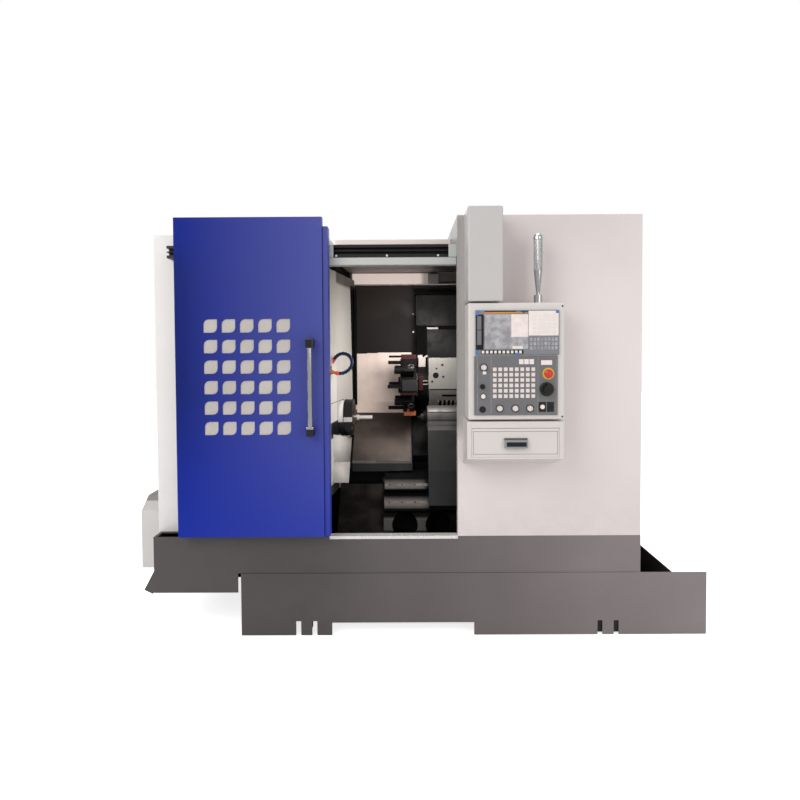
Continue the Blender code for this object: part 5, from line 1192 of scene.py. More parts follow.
@dataclass
class Base(Assembly):
    """Grey base, coolant tank and rollers."""

    body: str = "tank"

    def build(self) -> None:
        """Dresses the base's pieces and adds the dark caster housing behind a slot."""
        colours, dress = self.colours, self.shop.dress
        # Painted light makes the base and tank paler towards the right; painted shade makes the tank's top,
        # behind its front, dark grey.
        painted_light_right = Zone((0.5, -2, -1), (9, 2, 2), srgb(133, 124, 124), 1.9)
        right = Zone((0.9, -2, -1), (9, 2, 2), srgb(134, 126, 126), 0.8, 0.6)
        inside = Zone((-9, -0.6, -1), (9, 9, 2), srgb(50, 48, 47), 0.01)
        dress("base_skirt", colours.base, 0, (painted_light_right, right))
        dress("coolant_tank", colours.base, 0, (painted_light_right, right, inside))
        for node in ("tank_roller_left", "tank_roller_right"):
            dress(node, colours.rubber, 0.001)
        house = ((0.955, -0.6125, 0.012), (1.082, -0.6075, 0.108))
        self.blocks("caster_housing", colours.black, (house,), 0.001)


@dataclass
class Headstock(Assembly):
    """Spindle line: sleeve, chuck screws and slide bars, and the coolant hose.

    Attributes:
        axis_depth: depth of the spindle's axis.
        axis_height: height of the spindle's axis.
        chuck_face: where the chuck's face lies from left to right.
        screw_circle: distance of its screws from the axis.
        route: places that the hose passes through.
        hose_tip: how many of the hose's points lie in each red end.
    """

    body: str = "spindle_line"
    axis_depth: float = -0.217
    axis_height: float = 1.05
    chuck_face: float = -0.2812
    screw_circle: float = 0.078
    hose_tip: int = 9
    route: tuple[Point, ...] = (
        (-0.3831, -0.417, 1.3589), (-0.3662, -0.424, 1.3828), (-0.3467, -0.431, 1.404),
        (-0.3195, -0.438, 1.4145), (-0.2899, -0.445, 1.4066), (-0.2711, -0.452, 1.383),
        (-0.2696, -0.459, 1.3544), (-0.2859, -0.466, 1.3287), (-0.3114, -0.473, 1.3135),
        (-0.3392, -0.48, 1.3124), (-0.3643, -0.487, 1.318),
    )

    def build(self) -> None:
        """Dresses the spindle line and builds its fittings."""
        colours, dress = self.colours, self.shop.dress
        dress("headstock", colours.casting, 0.003)
        dress("spindle", colours.ground, 0.001)
        brown = Zone((-0.2835, -1, 0), (0, 1, 2), srgb(48, 38, 35), 0.002)
        dress("chuck_body", colours.black_steel, 0.001, (brown,))
        for number in (1, 2, 3):
            dress(f"chuck_jaw_{number}", colours.jaw, 0.0008)
        dress("test_bar", colours.bright)
        self.sleeve()
        self.chuck()
        self.hose()
        self.valve()

    def sleeve(self) -> None:
        """White ring around the spindle's nose, with painted shade making its underside near black."""
        piece = Piece("nose_sleeve", bevel=0.0015)
        start = (-0.372, self.axis_depth, self.axis_height)
        piece.ring(start, RIGHTWARD, inner=0.0925, outer=0.0985, thick=0.0385, sides=64)
        # Painted shade: the ring's lower part is painted near black.
        under = Zone((-1, -1, 0), (1, 1, 1.036), srgb(24, 23, 22), 0.004)
        piece.finish(self.shop.paint(self.colours.sleeve, (under,)))

    def around(self, angle: float, reach: float, across: float = 0.0) -> Pair:
        """Depth and height of a place around the spindle.

        Args:
            angle: its angle in radians, upward from the back.
            reach: its distance from the axis.
            across: how far it lies to the side of that line.

        Returns:
            The depth and height.
        """
        out, up = math.cos(angle), math.sin(angle)
        depth = self.axis_depth + out * reach - up * across
        return (depth, self.axis_height + up * reach + out * across)

    def chuck(self) -> None:
        """Socket screws on the chuck's face, and bright slide bars let into its rim."""
        angles = [math.radians(30 + 60 * turn) for turn in range(6)]
        spots = [(self.chuck_face, *self.around(angle, self.screw_circle)) for angle in angles]
        self.screws("chuck_screws", self.colours.black, spots, 0.0062, RIGHTWARD)
        bars = Piece("chuck_slides", self.body, bevel=0.0006)
        section = ((0.1005, -0.013), (0.1042, -0.012), (0.1042, 0.012), (0.1005, 0.013))
        for number in range(3):
            angle = math.pi - math.tau * number / 3
            bars.prism([self.around(angle, *corner) for corner in section], -0.33, -0.2825)
        bars.finish(self.shop.paint(self.colours.bright))

    def hose(self) -> None:
        """Jointed hose of blue links with red ends, in place of the CAD's plain one."""
        curve = curve_points(self.route, 8)
        radii = [0.0098 if index % 4 < 2 else 0.0078 for index in range(len(curve))]
        tip = self.hose_tip
        links = Piece("hose_links")
        links.loft(curve[tip:-tip], radii[tip:-tip])
        made = links.finish(self.shop.paint(self.colours.hose))
        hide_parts("coolant_hose")
        tips = Piece("hose_ends")
        tips.loft(curve[: tip + 1], [0.0092] * 4 + [0.0112] * (tip - 3))
        tips.loft(curve[-tip - 1 :], [0.0104] * 5 + [0.008] * (tip - 4))
        tips.finish(self.shop.paint(self.colours.orange))

    def valve(self) -> None:
        """Brass valve with its lever, at the hose's lower end."""
        flange = ((-0.003, 0.016), (0.003, 0.016), (0.004, 0.012))
        barrel = ((0.014, 0.012), (0.015, 0.009), (0.02, 0.009))
        piece = Piece("hose_valve", bevel=0.0008)
        piece.turned((-0.38, -0.488, 1.32), (1, -0.03, -0.08), (*flange, *barrel), 24)
        piece.box((-0.378, -0.492, 1.33), (-0.37, -0.484, 1.352))
        piece.finish(self.shop.paint(self.colours.brass))


@dataclass
class Ways(Assembly):
    """Bed casting, chip pan, lining, light and the telescopic covers.

    Attributes:
        way_strips: upper and lower edge of each strip, measured down the slanted bed.
        strip_left: where the strips start.
        strip_right: where they end.
        screw_start: how far the first of their screws lies from that end.
        screw_pitch: step from one screw to the next.
        root: depth and height of the slanted bed's upper edge.
    """

    way_strips: tuple[Pair, ...] = ((0.2905, 0.3065), (0.3995, 0.4165))
    strip_left: float = -0.106
    strip_right: float = 0.96
    screw_start: float = 0.0245
    screw_pitch: float = 0.0705
    root: Pair = (-0.0544, 0.8874)

    def on_bed(self, down: float, out: float) -> Pair:
        """Depth and height of a place that lies down the slanted bed and stands out of it."""
        return (self.root[0] - (down + out) * SLOPE, self.root[1] - (down - out) * SLOPE)

    def build(self) -> None:
        """Dresses the bed and what lies round it, and adds strips, light and edges."""
        colours, dress = self.colours, self.shop.dress
        # The bed is painted paler over the front arches and along the two ways; painted shade makes it near
        # black above the upper way, between the ways and towards the right.
        arch = Zone((-0.12, -0.65, 0.45), (0.24, -0.36, 0.56), srgb(104, 101, 99), 0.012, 0.85)
        first = Zone((-0.12, -1, 0.656), (0.12, 1, 0.683), srgb(112, 107, 105), 0.02, 0.9)
        second = Zone((-0.12, -1, 0.578), (0.16, 1, 0.6055), srgb(112, 107, 105), 0.02, 0.9)
        upper = Zone((-1, -1, 0.69), (2, 1, 2), srgb(9, 8, 8), 0.006)
        gap = Zone((-1, -1, 0.613), (2, 1, 0.652), srgb(9, 8, 8), 0.006)
        deep = Zone((0.16, -1, 0.3), (2, 1, 1.2), srgb(9, 8, 8), 0.14)
        dress("bed_casting", colours.casting, 0, (arch, first, second, upper, gap, deep))
        # Painted light: a pale, partly metallic band along the lining's top. Painted shade: the lining near
        # black to the right and darker at its top right.
        glow = Zone((-0.36, -0.6, 1.866), (0.4, 0.44, 2.0), srgb(178, 166, 160), 0.01, 0.9, 0.3)
        right = Zone((0.12, -0.6, 1.0), (2, 0.44, 1.86), srgb(17, 14, 13), 0.2, 0.85)
        dim = Zone((0.18, -0.6, 1.86), (2, 0.44, 1.95), srgb(52, 44, 40), 0.03, 0.9)
        dress("back_lining", colours.lining, 0, (glow, right, dim))
        self.light()
        ledge = Zone((-0.2, -0.45, 0.6), (-0.12, 1, 0.66), srgb(58, 51, 48), 0.04, 0.7)
        dress("chip_pan", colours.pan, 0, (ledge,))
        self.covers()
        self.strips()
        self.rail()

    def light(self) -> None:
        """Long work light with a bright lip under it and a darker end."""
        right = Zone((0.125, -1, 1), (1, 1, 3), srgb(150, 143, 139), 0.03)
        left = Zone((-1, -1, 1), (-0.338, 1, 3), srgb(70, 66, 63), 0.006)
        self.shop.dress("work_light", self.colours.glow, 0.001, (right, left))
        low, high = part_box("work_light")
        lip = ((low.x - 0.01, low.y - 0.002, low.z - 0.008), (0.4, low.y + 0.02, low.z - 0.0005))
        self.blocks("light_lip", self.colours.bright, (lip,), 0.0006)
        frame = ((0.166, low.y + 0.004, low.z), (0.235, low.y + 0.02, high.z - 0.004))
        self.blocks("light_frame", self.colours.ground, (frame,), 0.0006)

    def covers(self) -> None:
        """Z covers: bright guard at the back, stained slope, black skirt in front, with a painted shadow
        below the guard, a painted highlight on the fold above the skirt and painted shade to the right.
        """
        guard = Zone((-1, 0.062, 1.041), (1, 1, 2), srgb(244, 224, 213), 0.002, 1.0, 0.1)
        shadow = Zone((-1, 0.02, 0.98), (1, 0.0985, 1.0405), srgb(58, 51, 47), 0.05, 0.9)
        warm = Zone((-0.26, -0.13, 0.8), (-0.03, -0.02, 0.93), srgb(106, 93, 86), 0.07, 0.9)
        # Painted highlight: a paler line along the fold above the skirt.
        edge = Zone((-1, -0.164, 0.774), (1, -0.15, 0.79), srgb(120, 113, 108), 0.003, 0.8)
        skirt = Zone((-1, -1, 0), (1, -0.1555, 0.7765), srgb(12, 10, 10), 0.003, 1.0, 0.0)
        # Painted shade: the covers near black to the right.
        side = Zone((0.0455, -1, 0.7), (1, 0.06, 1.04), srgb(20, 18, 17), 0.002)
        zones = (shadow, warm, guard, edge, skirt, side)
        for node in ("z_cover_fixed", "z_cover_middle", "z_cover_moving"):
            self.shop.dress(node, self.colours.cover, 0, zones)

    def strips(self) -> None:
        """Hardened strips on both tail ways, with dark socket screws."""
        steel = Piece("way_strips")
        heads = []
        normal = (0, -SLOPE, SLOPE)
        profile = ((-0.0004, 0.0046), (0.00024, 0.0046), (0.00027, 0.003))
        count = int((self.strip_right - self.strip_left) / self.screw_pitch)
        for top, low in self.way_strips:
            corners = ((top, -0.0005), (low, -0.0005), (low, 0.0002), (top, 0.0002))
            outline = [self.on_bed(*corner) for corner in corners]
            steel.prism(outline, self.strip_left, self.strip_right)
            depth, height = self.on_bed((top + low) / 2, 0.0)
            for number in range(count):
                across = self.strip_left + self.screw_start + self.screw_pitch * number
                heads.append(((across, depth, height), normal, profile))
        steel.finish(self.shop.paint(self.colours.way))
        self.rounds("way_screws", self.colours.rubber, heads, 20)

    def rail(self) -> None:
        """Folded edge of the lining beside the X drive cover, with its screws."""
        upright = ((0.0775, 0.4215, 1.4), (0.0845, 0.4265, 1.835))
        level = ((0.0775, 0.4205, 1.822), (0.42, 0.4265, 1.835))
        self.blocks("lining_edge", self.colours.iron, (upright, level), 0.0008)
        spots = [(0.066, 0.4255, height) for height in (1.545, 1.6655)]
        self.screws("lining_screws", self.colours.ground, spots, 0.0045)


@dataclass
class Carriage(Assembly):
    """Saddle, X drive cover, cross slide, turret and tailstock.

    Attributes:
        disc: the middle of the turret disc.
        cover_front: depth of the X drive cover's front.
        stations: how many stations the turret has.
        station_reach: distance from the turret's axis to the empty stations.
        face_start: depth and height of the front edge of the housing's lower face.
        face_run: how far that face runs back and down to its back edge.
        louvre_left: where the row of louvres starts.
        louvre_pitch: step from one louvre to the next.
        louvre_width: width of a louvre.
    """

    body: str = "cross_slide_body"
    disc: Point = (-0.0188, -0.0466, 1.2204)
    cover_front: float = 0.2518
    stations: int = 8
    station_reach: float = 0.1555
    face_start: Pair = (-0.1887, 1.2084)
    face_run: float = 0.157
    louvre_left: float = 0.198
    louvre_pitch: float = 0.0245
    louvre_width: float = 0.009

    def build(self) -> None:
        """Dresses the slides and builds the turret's fittings."""
        colours, dress = self.colours, self.shop.dress
        dress("saddle", colours.tool_black, 0.002)
        dress("x_drive_cover", colours.dark_housing, 0.002)
        dress("cross_slide", colours.iron, 0.002)
        dress("turret_housing", colours.housing, 0.002)
        dress("turret_disc", colours.tool_black, 0.001)
        bands = (
            Zone((0.133, -1, 1.092), (1, 1, 2), srgb(84, 80, 78), 0.006),
            Zone((0.133, -1, 1.078), (1, 1, 1.086), srgb(26, 24, 23), 0.004),
            Zone((0.133, -1, 1.036), (1, 1, 1.042), srgb(26, 24, 23), 0.004),
            Zone((0.133, -1, 1.0), (1, 1, 1.03), srgb(138, 132, 129), 0.016),
            Zone((0, -1, -1), (2, 1, 0.984), srgb(8, 7, 7), 0.006, 1.0, 0.0),
            Zone((0, -1, 0.984), (2, 1, 0.992), srgb(96, 91, 89), 0.003),
            Zone((0.27, -1, -1), (2, 1, 2), srgb(20, 18, 18), 0.06, 0.5),
        )
        dress("tailstock_body", colours.tail_iron, 0.003, bands)
        dress("tailstock_quill", colours.tool_black, 0.001)
        dress("live_centre", colours.iron, 0.0005)
        self.drive_cover()
        self.housing_cover()
        self.hole_shades_and_red_plug()
        self.louvres()
        self.holders()
        self.neck()
        self.neck_fitting()

    def drive_cover(self) -> None:
        """Edge flange and light strip of the X drive cover, and near-black blocks as painted shade in its
        recess.
        """
        front = self.cover_front
        face = front + TILE_ROOT
        edge = (
            ((0.0815, front - 0.003, 1.585), (0.0865, front, 1.776)),
            ((0.0865, front - 0.003, 1.5822), (0.418, front, 1.5872)),
        )
        # Painted shade: near-black blocks below the cover's step and behind its top.
        recess = (
            ((0.083, front - 0.001, 1.252), (0.1515, face, 1.58)),
            ((0.1515, front - 0.001, 1.57), (0.418, face, 1.58)),
            ((0.2225, front - 0.002, 1.556), (0.418, face, 1.571)),
            ((0.075, front + 0.01, 1.7785), (0.4185, front + 0.1, 1.7925)),
        )
        strip = (((0.1515, front - 0.003, 1.5585), (0.2222, front, 1.57)),)
        for name, finish, boxes in (
            ("drive_edge", self.colours.plate_grey, edge),
            ("drive_recess_shade", self.colours.void, recess),
            ("drive_strip", self.colours.milky, strip),
        ):
            self.blocks(name, finish, boxes, 0.0006, body="carriage")

    def housing_cover(self) -> None:
        """Sheet cover over the turret housing's front."""
        cover = Piece("housing_cover", self.body, bevel=0.0015)
        outline = [
            (-0.1895, 1.206), (-0.194, 1.206), (-0.194, 1.3825), (-0.09, 1.3825), (-0.0345, 1.368),
            (-0.0345, 1.364), (-0.0912, 1.364), (-0.1895, 1.2656),
        ]
        cover.prism(outline, 0.143, 0.3985)
        cover.finish(self.shop.paint(self.colours.housing_sheet))

    def hole_shades_and_red_plug(self) -> None:
        """Openings of the housing's cover as near-black discs of painted shade, and a red plug."""
        # Painted shade: each opening is a near-black disc.
        spots = []
        for across, height, radius in (
            (0.1834, 1.2841, 0.0165), (0.1875, 1.3232, 0.0052), (0.2259, 1.2765, 0.0062),
            (0.1628, 1.2495, 0.0058),
        ):
            profile = ((-0.001, radius), (0.0008, radius), (0.0012, radius * 0.9), (0.0006, radius * 0.7))
            spots.append(((across, -0.194, height), FRONTWARD, profile))
        self.rounds("housing_hole_shades", self.colours.void, spots, 28)
        mark = ((-0.001, 0.0068), (0.0012, 0.0068), (0.002, 0.005))
        spot = ((0.2205, -0.194, 1.3441), FRONTWARD, mark)
        self.rounds("housing_red_plug", self.colours.red, (spot,), 24)

    def on_face(self, share: float, out: float) -> Pair:
        """Depth and height on the lower face, from its front edge at 0 to its back edge at 1."""
        back, up = self.face_run * share, out * SLOPE
        return (self.face_start[0] + back - up, self.face_start[1] - back - up)

    def band(self, piece: Piece, shares: Pair, out: float, ends: Pair, taper: Pair = (0.0, 0.0)) -> None:
        """Adds one raised band to a piece on the housing's lower face.

        Args:
            piece: the piece that it is added to.
            shares: where it starts and ends between the face's front and back edge.
            out: how far it stands out of the face.
            ends: its left and right end.
            taper: how much narrower its top is at the front and at the back.
        """
        corners = (
            (shares[0], 0.0),
            (shares[1], 0.0),
            (shares[1] - taper[1], out),
            (shares[0] + taper[0], out),
        )
        piece.prism([self.on_face(*corner) for corner in corners], *ends)

    def louvres(self) -> None:
        """Row of upright louvres on the housing's lower face, with near-black strips as painted shade
        between them, in the slots and along its front and back edges.
        """
        fins = Piece("housing_louvres", self.body, bevel=0.001)
        # Painted shade: near-black strips between the louvres, in the slots and along the face's edges.
        dark = Piece("housing_slot_shade", self.body, bevel=0.0006)
        for number in range(8):
            left = self.louvre_left + self.louvre_pitch * number
            right = left + self.louvre_width
            self.band(fins, (0.47, 0.86), 0.006, (left, right), (0.03, 0.02))
            self.band(dark, (0.47, 0.86), 0.0015, (right, left + self.louvre_pitch))
        self.band(dark, (0.24, 0.31), 0.002, (0.2212, 0.395))
        self.band(dark, (0.02, 0.05), 0.0012, (0.151, 0.3985))
        self.band(dark, (0.88, 0.99), 0.0015, (0.151, 0.3985))
        fins.finish(self.shop.paint(self.colours.housing))
        dark.finish(self.shop.paint(self.colours.void))

    def holders(self) -> None:
        """Tool holders: a red one on top, steel sockets, a square plate and a copper collar."""
        colours = self.colours
        red = (
            ((-0.0144, -0.072, 1.3745), (0.0765, -0.0212, 1.4015)),
            ((-0.0235, -0.203, 1.256), (-0.015, -0.19, 1.264)),
            ((-0.0215, -0.203, 1.211), (-0.015, -0.19, 1.216)),
            ((-0.015, -0.199, 1.172), (0.0763, -0.194, 1.186)),
        )
        shank = (
            ((-0.086, -0.053, 1.383), (-0.014, -0.04, 1.3955)),
            ((-0.0185, -0.07, 1.33), (0.078, -0.024, 1.374)),
        )
        self.blocks("holder_red", colours.red, red, 0.0018, body="turret")
        self.blocks("holder_shank", colours.tool_black, shank, 0.0008, body="turret")
        sockets = Piece("holder_sockets", "turret", bevel=0.0006)
        caps = []
        profile = ((-0.001, 0.0122), (0.003, 0.0122), (0.006, 0.007))
        for station in range(1, self.stations, 2):
            angle = math.tau * station / self.stations
            depth = self.disc[1] - self.station_reach * math.sin(angle)
            height = self.disc[2] + self.station_reach * math.cos(angle)
            way = (0, depth - self.disc[1], height - self.disc[2])
            sockets.ring((0.043, depth, height), way, 0.0125, 0.0195, 0.006, 36)
            caps.append(((0.043, depth, height), way, profile))
        sockets.finish(self.shop.paint(colours.ground))
        self.rounds("holder_caps", colours.iron, caps, 28, "turret")
        plate = ((-0.0085, -0.2052, 1.1965), (0.0762, -0.202, 1.2594))
        self.blocks("holder_plate", colours.plate_grey, (plate,), 0.0015, body="turret")
        collar = ((0.0015, -0.072, 1.04), (0.0728, -0.0212, 1.0655))
        self.blocks("holder_collar", colours.copper, (collar,), 0.0018, body="turret")
        drill = ((0.028, -0.079, 1.064), Axis.Z.value, ((0.0, 0.008), (0.045, 0.008), (0.05, 0.005)))
        self.rounds("holder_drill", colours.copper, (drill,), 20, "turret")

    def neck(self) -> None:
        """Near-black shroud behind the disc as painted shade round the neck, with its red collar and two
        rods.
        """
        # Painted shade: the neck is wrapped in a near-black shroud.
        shroud = Piece("neck_shade_shroud", self.body, bevel=0.001)
        middle = (0.0815, self.disc[1], self.disc[2])
        shroud.ring(middle, RIGHTWARD, inner=0.0765, outer=0.106, thick=0.06, sides=56)
        shroud.finish(self.shop.paint(self.colours.void))
        collar = ((0.089, -0.16, 1.196), (0.1134, -0.15, 1.276))
        self.blocks("neck_collar", self.colours.red, (collar,), 0.002)
        profile = ((0, 0.0035), (0.04, 0.0035))
        rods = [((0.11, -0.157, height), RIGHTWARD, profile) for height in (1.231, 1.25)]
        self.rounds("neck_rods", self.colours.way, rods, 16)

    def neck_fitting(self) -> None:
        """White hose fitting over the neck, with its knob and spout."""
        piece = Piece("neck_fitting", self.body, bevel=0.003)
        piece.box((0.088, -0.07, 1.327), (0.13, -0.03, 1.385))
        knob = ((0, 0.01), (0.004, 0.013), (0.028, 0.013), (0.03, 0.01))
        piece.turned((0.083, -0.05, 1.386), RIGHTWARD, knob, 24)
        spout = ((-0.006, 0.006), (0.016, 0.006))
        piece.turned((0.129, -0.05, 1.386), (1, 0.1, 0.5), spout, 16)
        piece.finish(self.shop.paint(self.colours.fitting))


@dataclass
class Door(Assembly):
    """Blue door with its pane, channel, edge screw and handle."""

    body: str = "door"

    def build(self) -> None:
        """Dresses the door's pieces."""
        colours, dress = self.colours, self.shop.dress
        # Painted shade darkens the door's blue at the far left; painted light makes it paler and greyer
        # towards the right and brighter low down.
        zones = (
            Zone((-9, -1, 0.9), (-1.02, 1, 1.9), srgb(22, 34, 96), 0.2, 0.8),
            Zone((-0.62, -1, -1), (2, 1, 3), srgb(90, 95, 160), 0.9),
            Zone((-2, -1, -1), (2, 1, 0.85), srgb(28, 50, 164), 0.8, 0.8),
        )
        dress("door_panel", colours.blue, 0, zones)
        dress("door_channel", colours.blue, 0.002, zones)
        dress("door_pane", colours.pane)
        low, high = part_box("door_handle")
        black = srgb(16, 16, 18)
        ends = (
            Zone((-9, -9, high.z - 0.046), (9, 9, 9), black, 0.002, 1.0, 0.0),
            Zone((-9, -9, -9), (9, 9, low.z + 0.036), black, 0.002, 1.0, 0.0),
        )
        dress("door_handle", colours.chrome, 0, ends)
        self.screws("door_edge_screws", colours.rubber, ((-0.3762, -0.6655, 1.523),), 0.004)


@dataclass
class Controls(Assembly):
    """Control column, box, console, drawer and signal lamp.

    Attributes:
        glass: depth of the display unit's front.
        plate: depth of the operator panel's face.
    """

    body: str = "control"
    glass: float = -0.807
    plate: float = -0.804

    def build(self) -> None:
        """Dresses the controls and builds their keys, tabs and rings."""
        colours, dress = self.colours, self.shop.dress
        dress("control_column", colours.column_grey)
        dress("control_box", colours.box_grey)
        dress("display_unit", colours.display)
        keys = Zone((0.405, -1, 1.195), (0.625, -0.805, 1.362), srgb(222, 211, 207), 0.0004)
        yellow = Zone((0.63, -1, 1.285), (0.715, -0.8046, 1.358), srgb(214, 184, 44), 0.0002)
        dress("operator_panel", colours.panel, 0, (keys, yellow))
        dress("drawer_console", colours.box_grey, 0.002)
        dress("drawer", colours.box_grey, 0.001)
        for node in ("override_knob_1", "override_knob_2", "override_knob_3", "mode_knob", "start_button"):
            dress(node, colours.knob, 0.0008)
        for node, bevel in (("key_switch", 0.0005), ("hold_button", 0.0008), ("hand_wheel", 0.0006)):
            dress(node, colours.black, bevel)
        dress("stop_button", colours.stop)
        dress("lamp_tube", colours.lamp)
        for node in ("lamp_base", "lamp_cap"):
            dress(node, colours.chrome)
        cup = Zone((0.476, -1, 0.985), (0.569, 1, 1.006), srgb(14, 14, 15), 0.002, 1.0, 0.0)
        brim = Zone((0, -1, 1.015), (1, 1, 2), srgb(34, 34, 36), 0.002, 1.0, 0.0)
        dress("drawer_pull", colours.chrome, 0, (cup, brim))
        self.display()
        self.panel()
        self.switches()
        self.drawer()

    def tiles(
        self,
        name: str,
        finish: Finish,
        spots: Iterable[Tile],
        front: float,
        thick: float,
        bevel: float = 0.0,
        zones: Sequence[Zone] = (),
        body: str = "",
    ) -> None:
        """Adds one piece that is made of thin upright tiles.

        Args:
            name: the piece's name.
            finish: its finish.
            spots: left, low, right and high of each tile.
            front: depth of the surface that carries them.
            thick: how far they stand out of it.
            bevel: width of their rounded edges.
            zones: parts of it that take another colour.
            body: the body that it rides on, if not the sub-assembly's own.
        """
        boxes = [
            ((left, front - thick, low), (right, front + TILE_ROOT, high))
            for left, low, right, high in spots
        ]
        self.blocks(name, finish, boxes, bevel, zones, body)

    def display(self) -> None:
        """Screen with two painted reflections, keypad, soft keys, tabs and the amber bar of the display
        unit.
        """
        colours = self.colours
        # Painted reflection: two pale patches on the screen.
        screen_reflection = (
            Zone((0.5, -1, 1.492), (0.6, 1, 1.66), srgb(240, 226, 222), 0.003, 0.95),
            Zone((0.505, -1, 1.3), (0.553, 1, 1.45), srgb(240, 228, 224), 0.004, 0.9),
        )
        ends = (
            Zone((0, -1, 0), (0.408, 1, 3), srgb(206, 118, 62), 0.01),
            Zone((0.553, -1, 0), (1, 1, 3), srgb(96, 60, 40), 0.006),
        )
        side_keys = [(0.3425, 1.456, 0.3625, 1.523), (0.3425, 1.526, 0.3625, 1.589)]
        caps = key_grid(5, 5, (0.6, 1.507), (0.0225, 0.019), (0.017, 0.0135))
        low_keys = key_grid(8, 3, (0.587, 1.433), (0.0165, 0.02), (0.0115, 0.015))
        soft_keys = key_grid(10, 1, (0.364, 1.416), (0.0192, 0.0), (0.012, 0.013))
        tabs = [
            (0.3365, 1.593, 0.35, 1.612), (0.3365, 1.412, 0.35, 1.431), (0.706, 1.601, 0.719, 1.614),
            (0.523, 1.6085, 0.543, 1.615), (0.517, 1.41, 0.537, 1.419),
        ]
        for part, finish, thick, bevel, spots, zones in (
            ("screen", colours.screen, 0.0008, 0.0008, [(0.3769, 1.437, 0.578, 1.5965)], screen_reflection),
            ("side", colours.dark_housing, 0.0006, 0.0006, [(0.337, 1.433, 0.3725, 1.5965)], ()),
            ("keys_side", colours.panel, 0.0012, 0.0006, side_keys, ()),
            ("keypad", colours.keypad, 0.0006, 0.0006, [(0.5805, 1.498, 0.719, 1.612)], ()),
            ("key_caps", colours.knob, 0.0016, 0.0008, caps, ()),
            ("low_keys", colours.screen, 0.0014, 0.0008, low_keys, ()),
            ("soft_keys", colours.knob, 0.0014, 0.0008, soft_keys, ()),
            ("soft_bed", colours.black, 0.0005, 0.0, [(0.36, 1.4135, 0.557, 1.432)], ()),
            ("tabs", colours.tab, 0.0018, 0.0008, tabs, ()),
            ("bar", colours.amber, 0.0012, 0.0004, [(0.3793, 1.6, 0.56, 1.6075)], ends),
            ("top_line", colours.dark_housing, 0.0006, 0.0, [(0.377, 1.608, 0.58, 1.6125)], ()),
        ):
            self.tiles(f"display_{part}", finish, spots, self.glass, thick, bevel, zones)

    def panel(self) -> None:
        """Dividing lines, pads and collars of the operator panel."""
        lines = [(place, 1.134, place + 0.0012, 1.401) for place in (0.344, 0.4068, 0.6245, 0.708)]
        self.tiles("panel_lines", self.colours.screen, lines, self.plate, 0.0003)
        pads = key_grid(3, 1, (0.5369, 1.3655), (0.024, 0.0), (0.021, 0.0235))
        pads += [(0.369, 1.319, 0.385, 1.333), (0.639, 1.362, 0.69, 1.3835)]
        self.tiles("panel_pads", self.colours.keypad, pads, self.plate, 0.0012, 0.0008)
        collars = Piece("panel_collars", self.body, bevel=0.0004)
        for place, height, inner, outer in (
            (0.4474, 1.1604, 0.0152, 0.0178), (0.5198, 1.1604, 0.0152, 0.0178),
            (0.5876, 1.1604, 0.0152, 0.0178), (0.374, 1.351, 0.0152, 0.0176),
            (0.371, 1.217, 0.012, 0.0138), (0.368, 1.156, 0.012, 0.015),
        ):
            collars.ring((place, self.plate, height), FRONTWARD, inner, outer, 0.0022, 32)
        collars.finish(self.shop.paint(self.colours.rubber))

    def switches(self) -> None:
        """Two square switches with a white dot and a socket, and the hand wheel's dark face."""
        colours = self.colours
        squares = [(0.6275, 1.144, 0.662, 1.19), (0.6665, 1.144, 0.699, 1.19)]
        self.tiles("panel_square", colours.black, squares, self.plate, 0.0014, 0.001)
        top = self.plate - 0.001
        dot = ((0, 0.0105), (0.003, 0.0105), (0.0045, 0.008))
        self.rounds("panel_white_dot", colours.keypad, (((0.6455, top, 1.1672), FRONTWARD, dot),), 28)
        socket = Piece("panel_socket", self.body)
        socket.ring((0.6825, top, 1.1672), FRONTWARD, inner=0.004, outer=0.0085, thick=0.0022, sides=28)
        socket.finish(self.shop.paint(colours.dark_housing))
        low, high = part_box("hand_wheel")
        centre = ((low.x + high.x) / 2, low.y + 0.0008, (low.z + high.z) / 2)
        face = ((0, 0.0195), (0.0012, 0.0195), (0.0018, 0.0175))
        self.rounds("wheel_face", colours.dark_housing, ((centre, FRONTWARD, face),), 36, "wheel_body")

    def drawer(self) -> None:
        """Thin grey strips as painted shade in the gap round the drawer's front, and dark screws at the
        box's corners.
        """
        left, low, right, high = 0.324, 0.9465, 0.717, 1.0545
        line = 0.0022
        # Painted shade: the gap round the drawer's front as thin grey strips.
        outline = (
            (left, low, right, low + line),
            (left, high - line, right, high),
            (left, low, left + line, high),
            (right - line, low, right, high),
        )
        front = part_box("drawer")[0].y
        self.tiles("drawer_gap_shade", self.colours.display, outline, front, 0.0003, body="drawer_body")
        spots = [(0.7391, -0.7968, height) for height in (1.6339, 1.1209)]
        self.screws("box_screws", self.colours.rubber, spots, 0.0042)


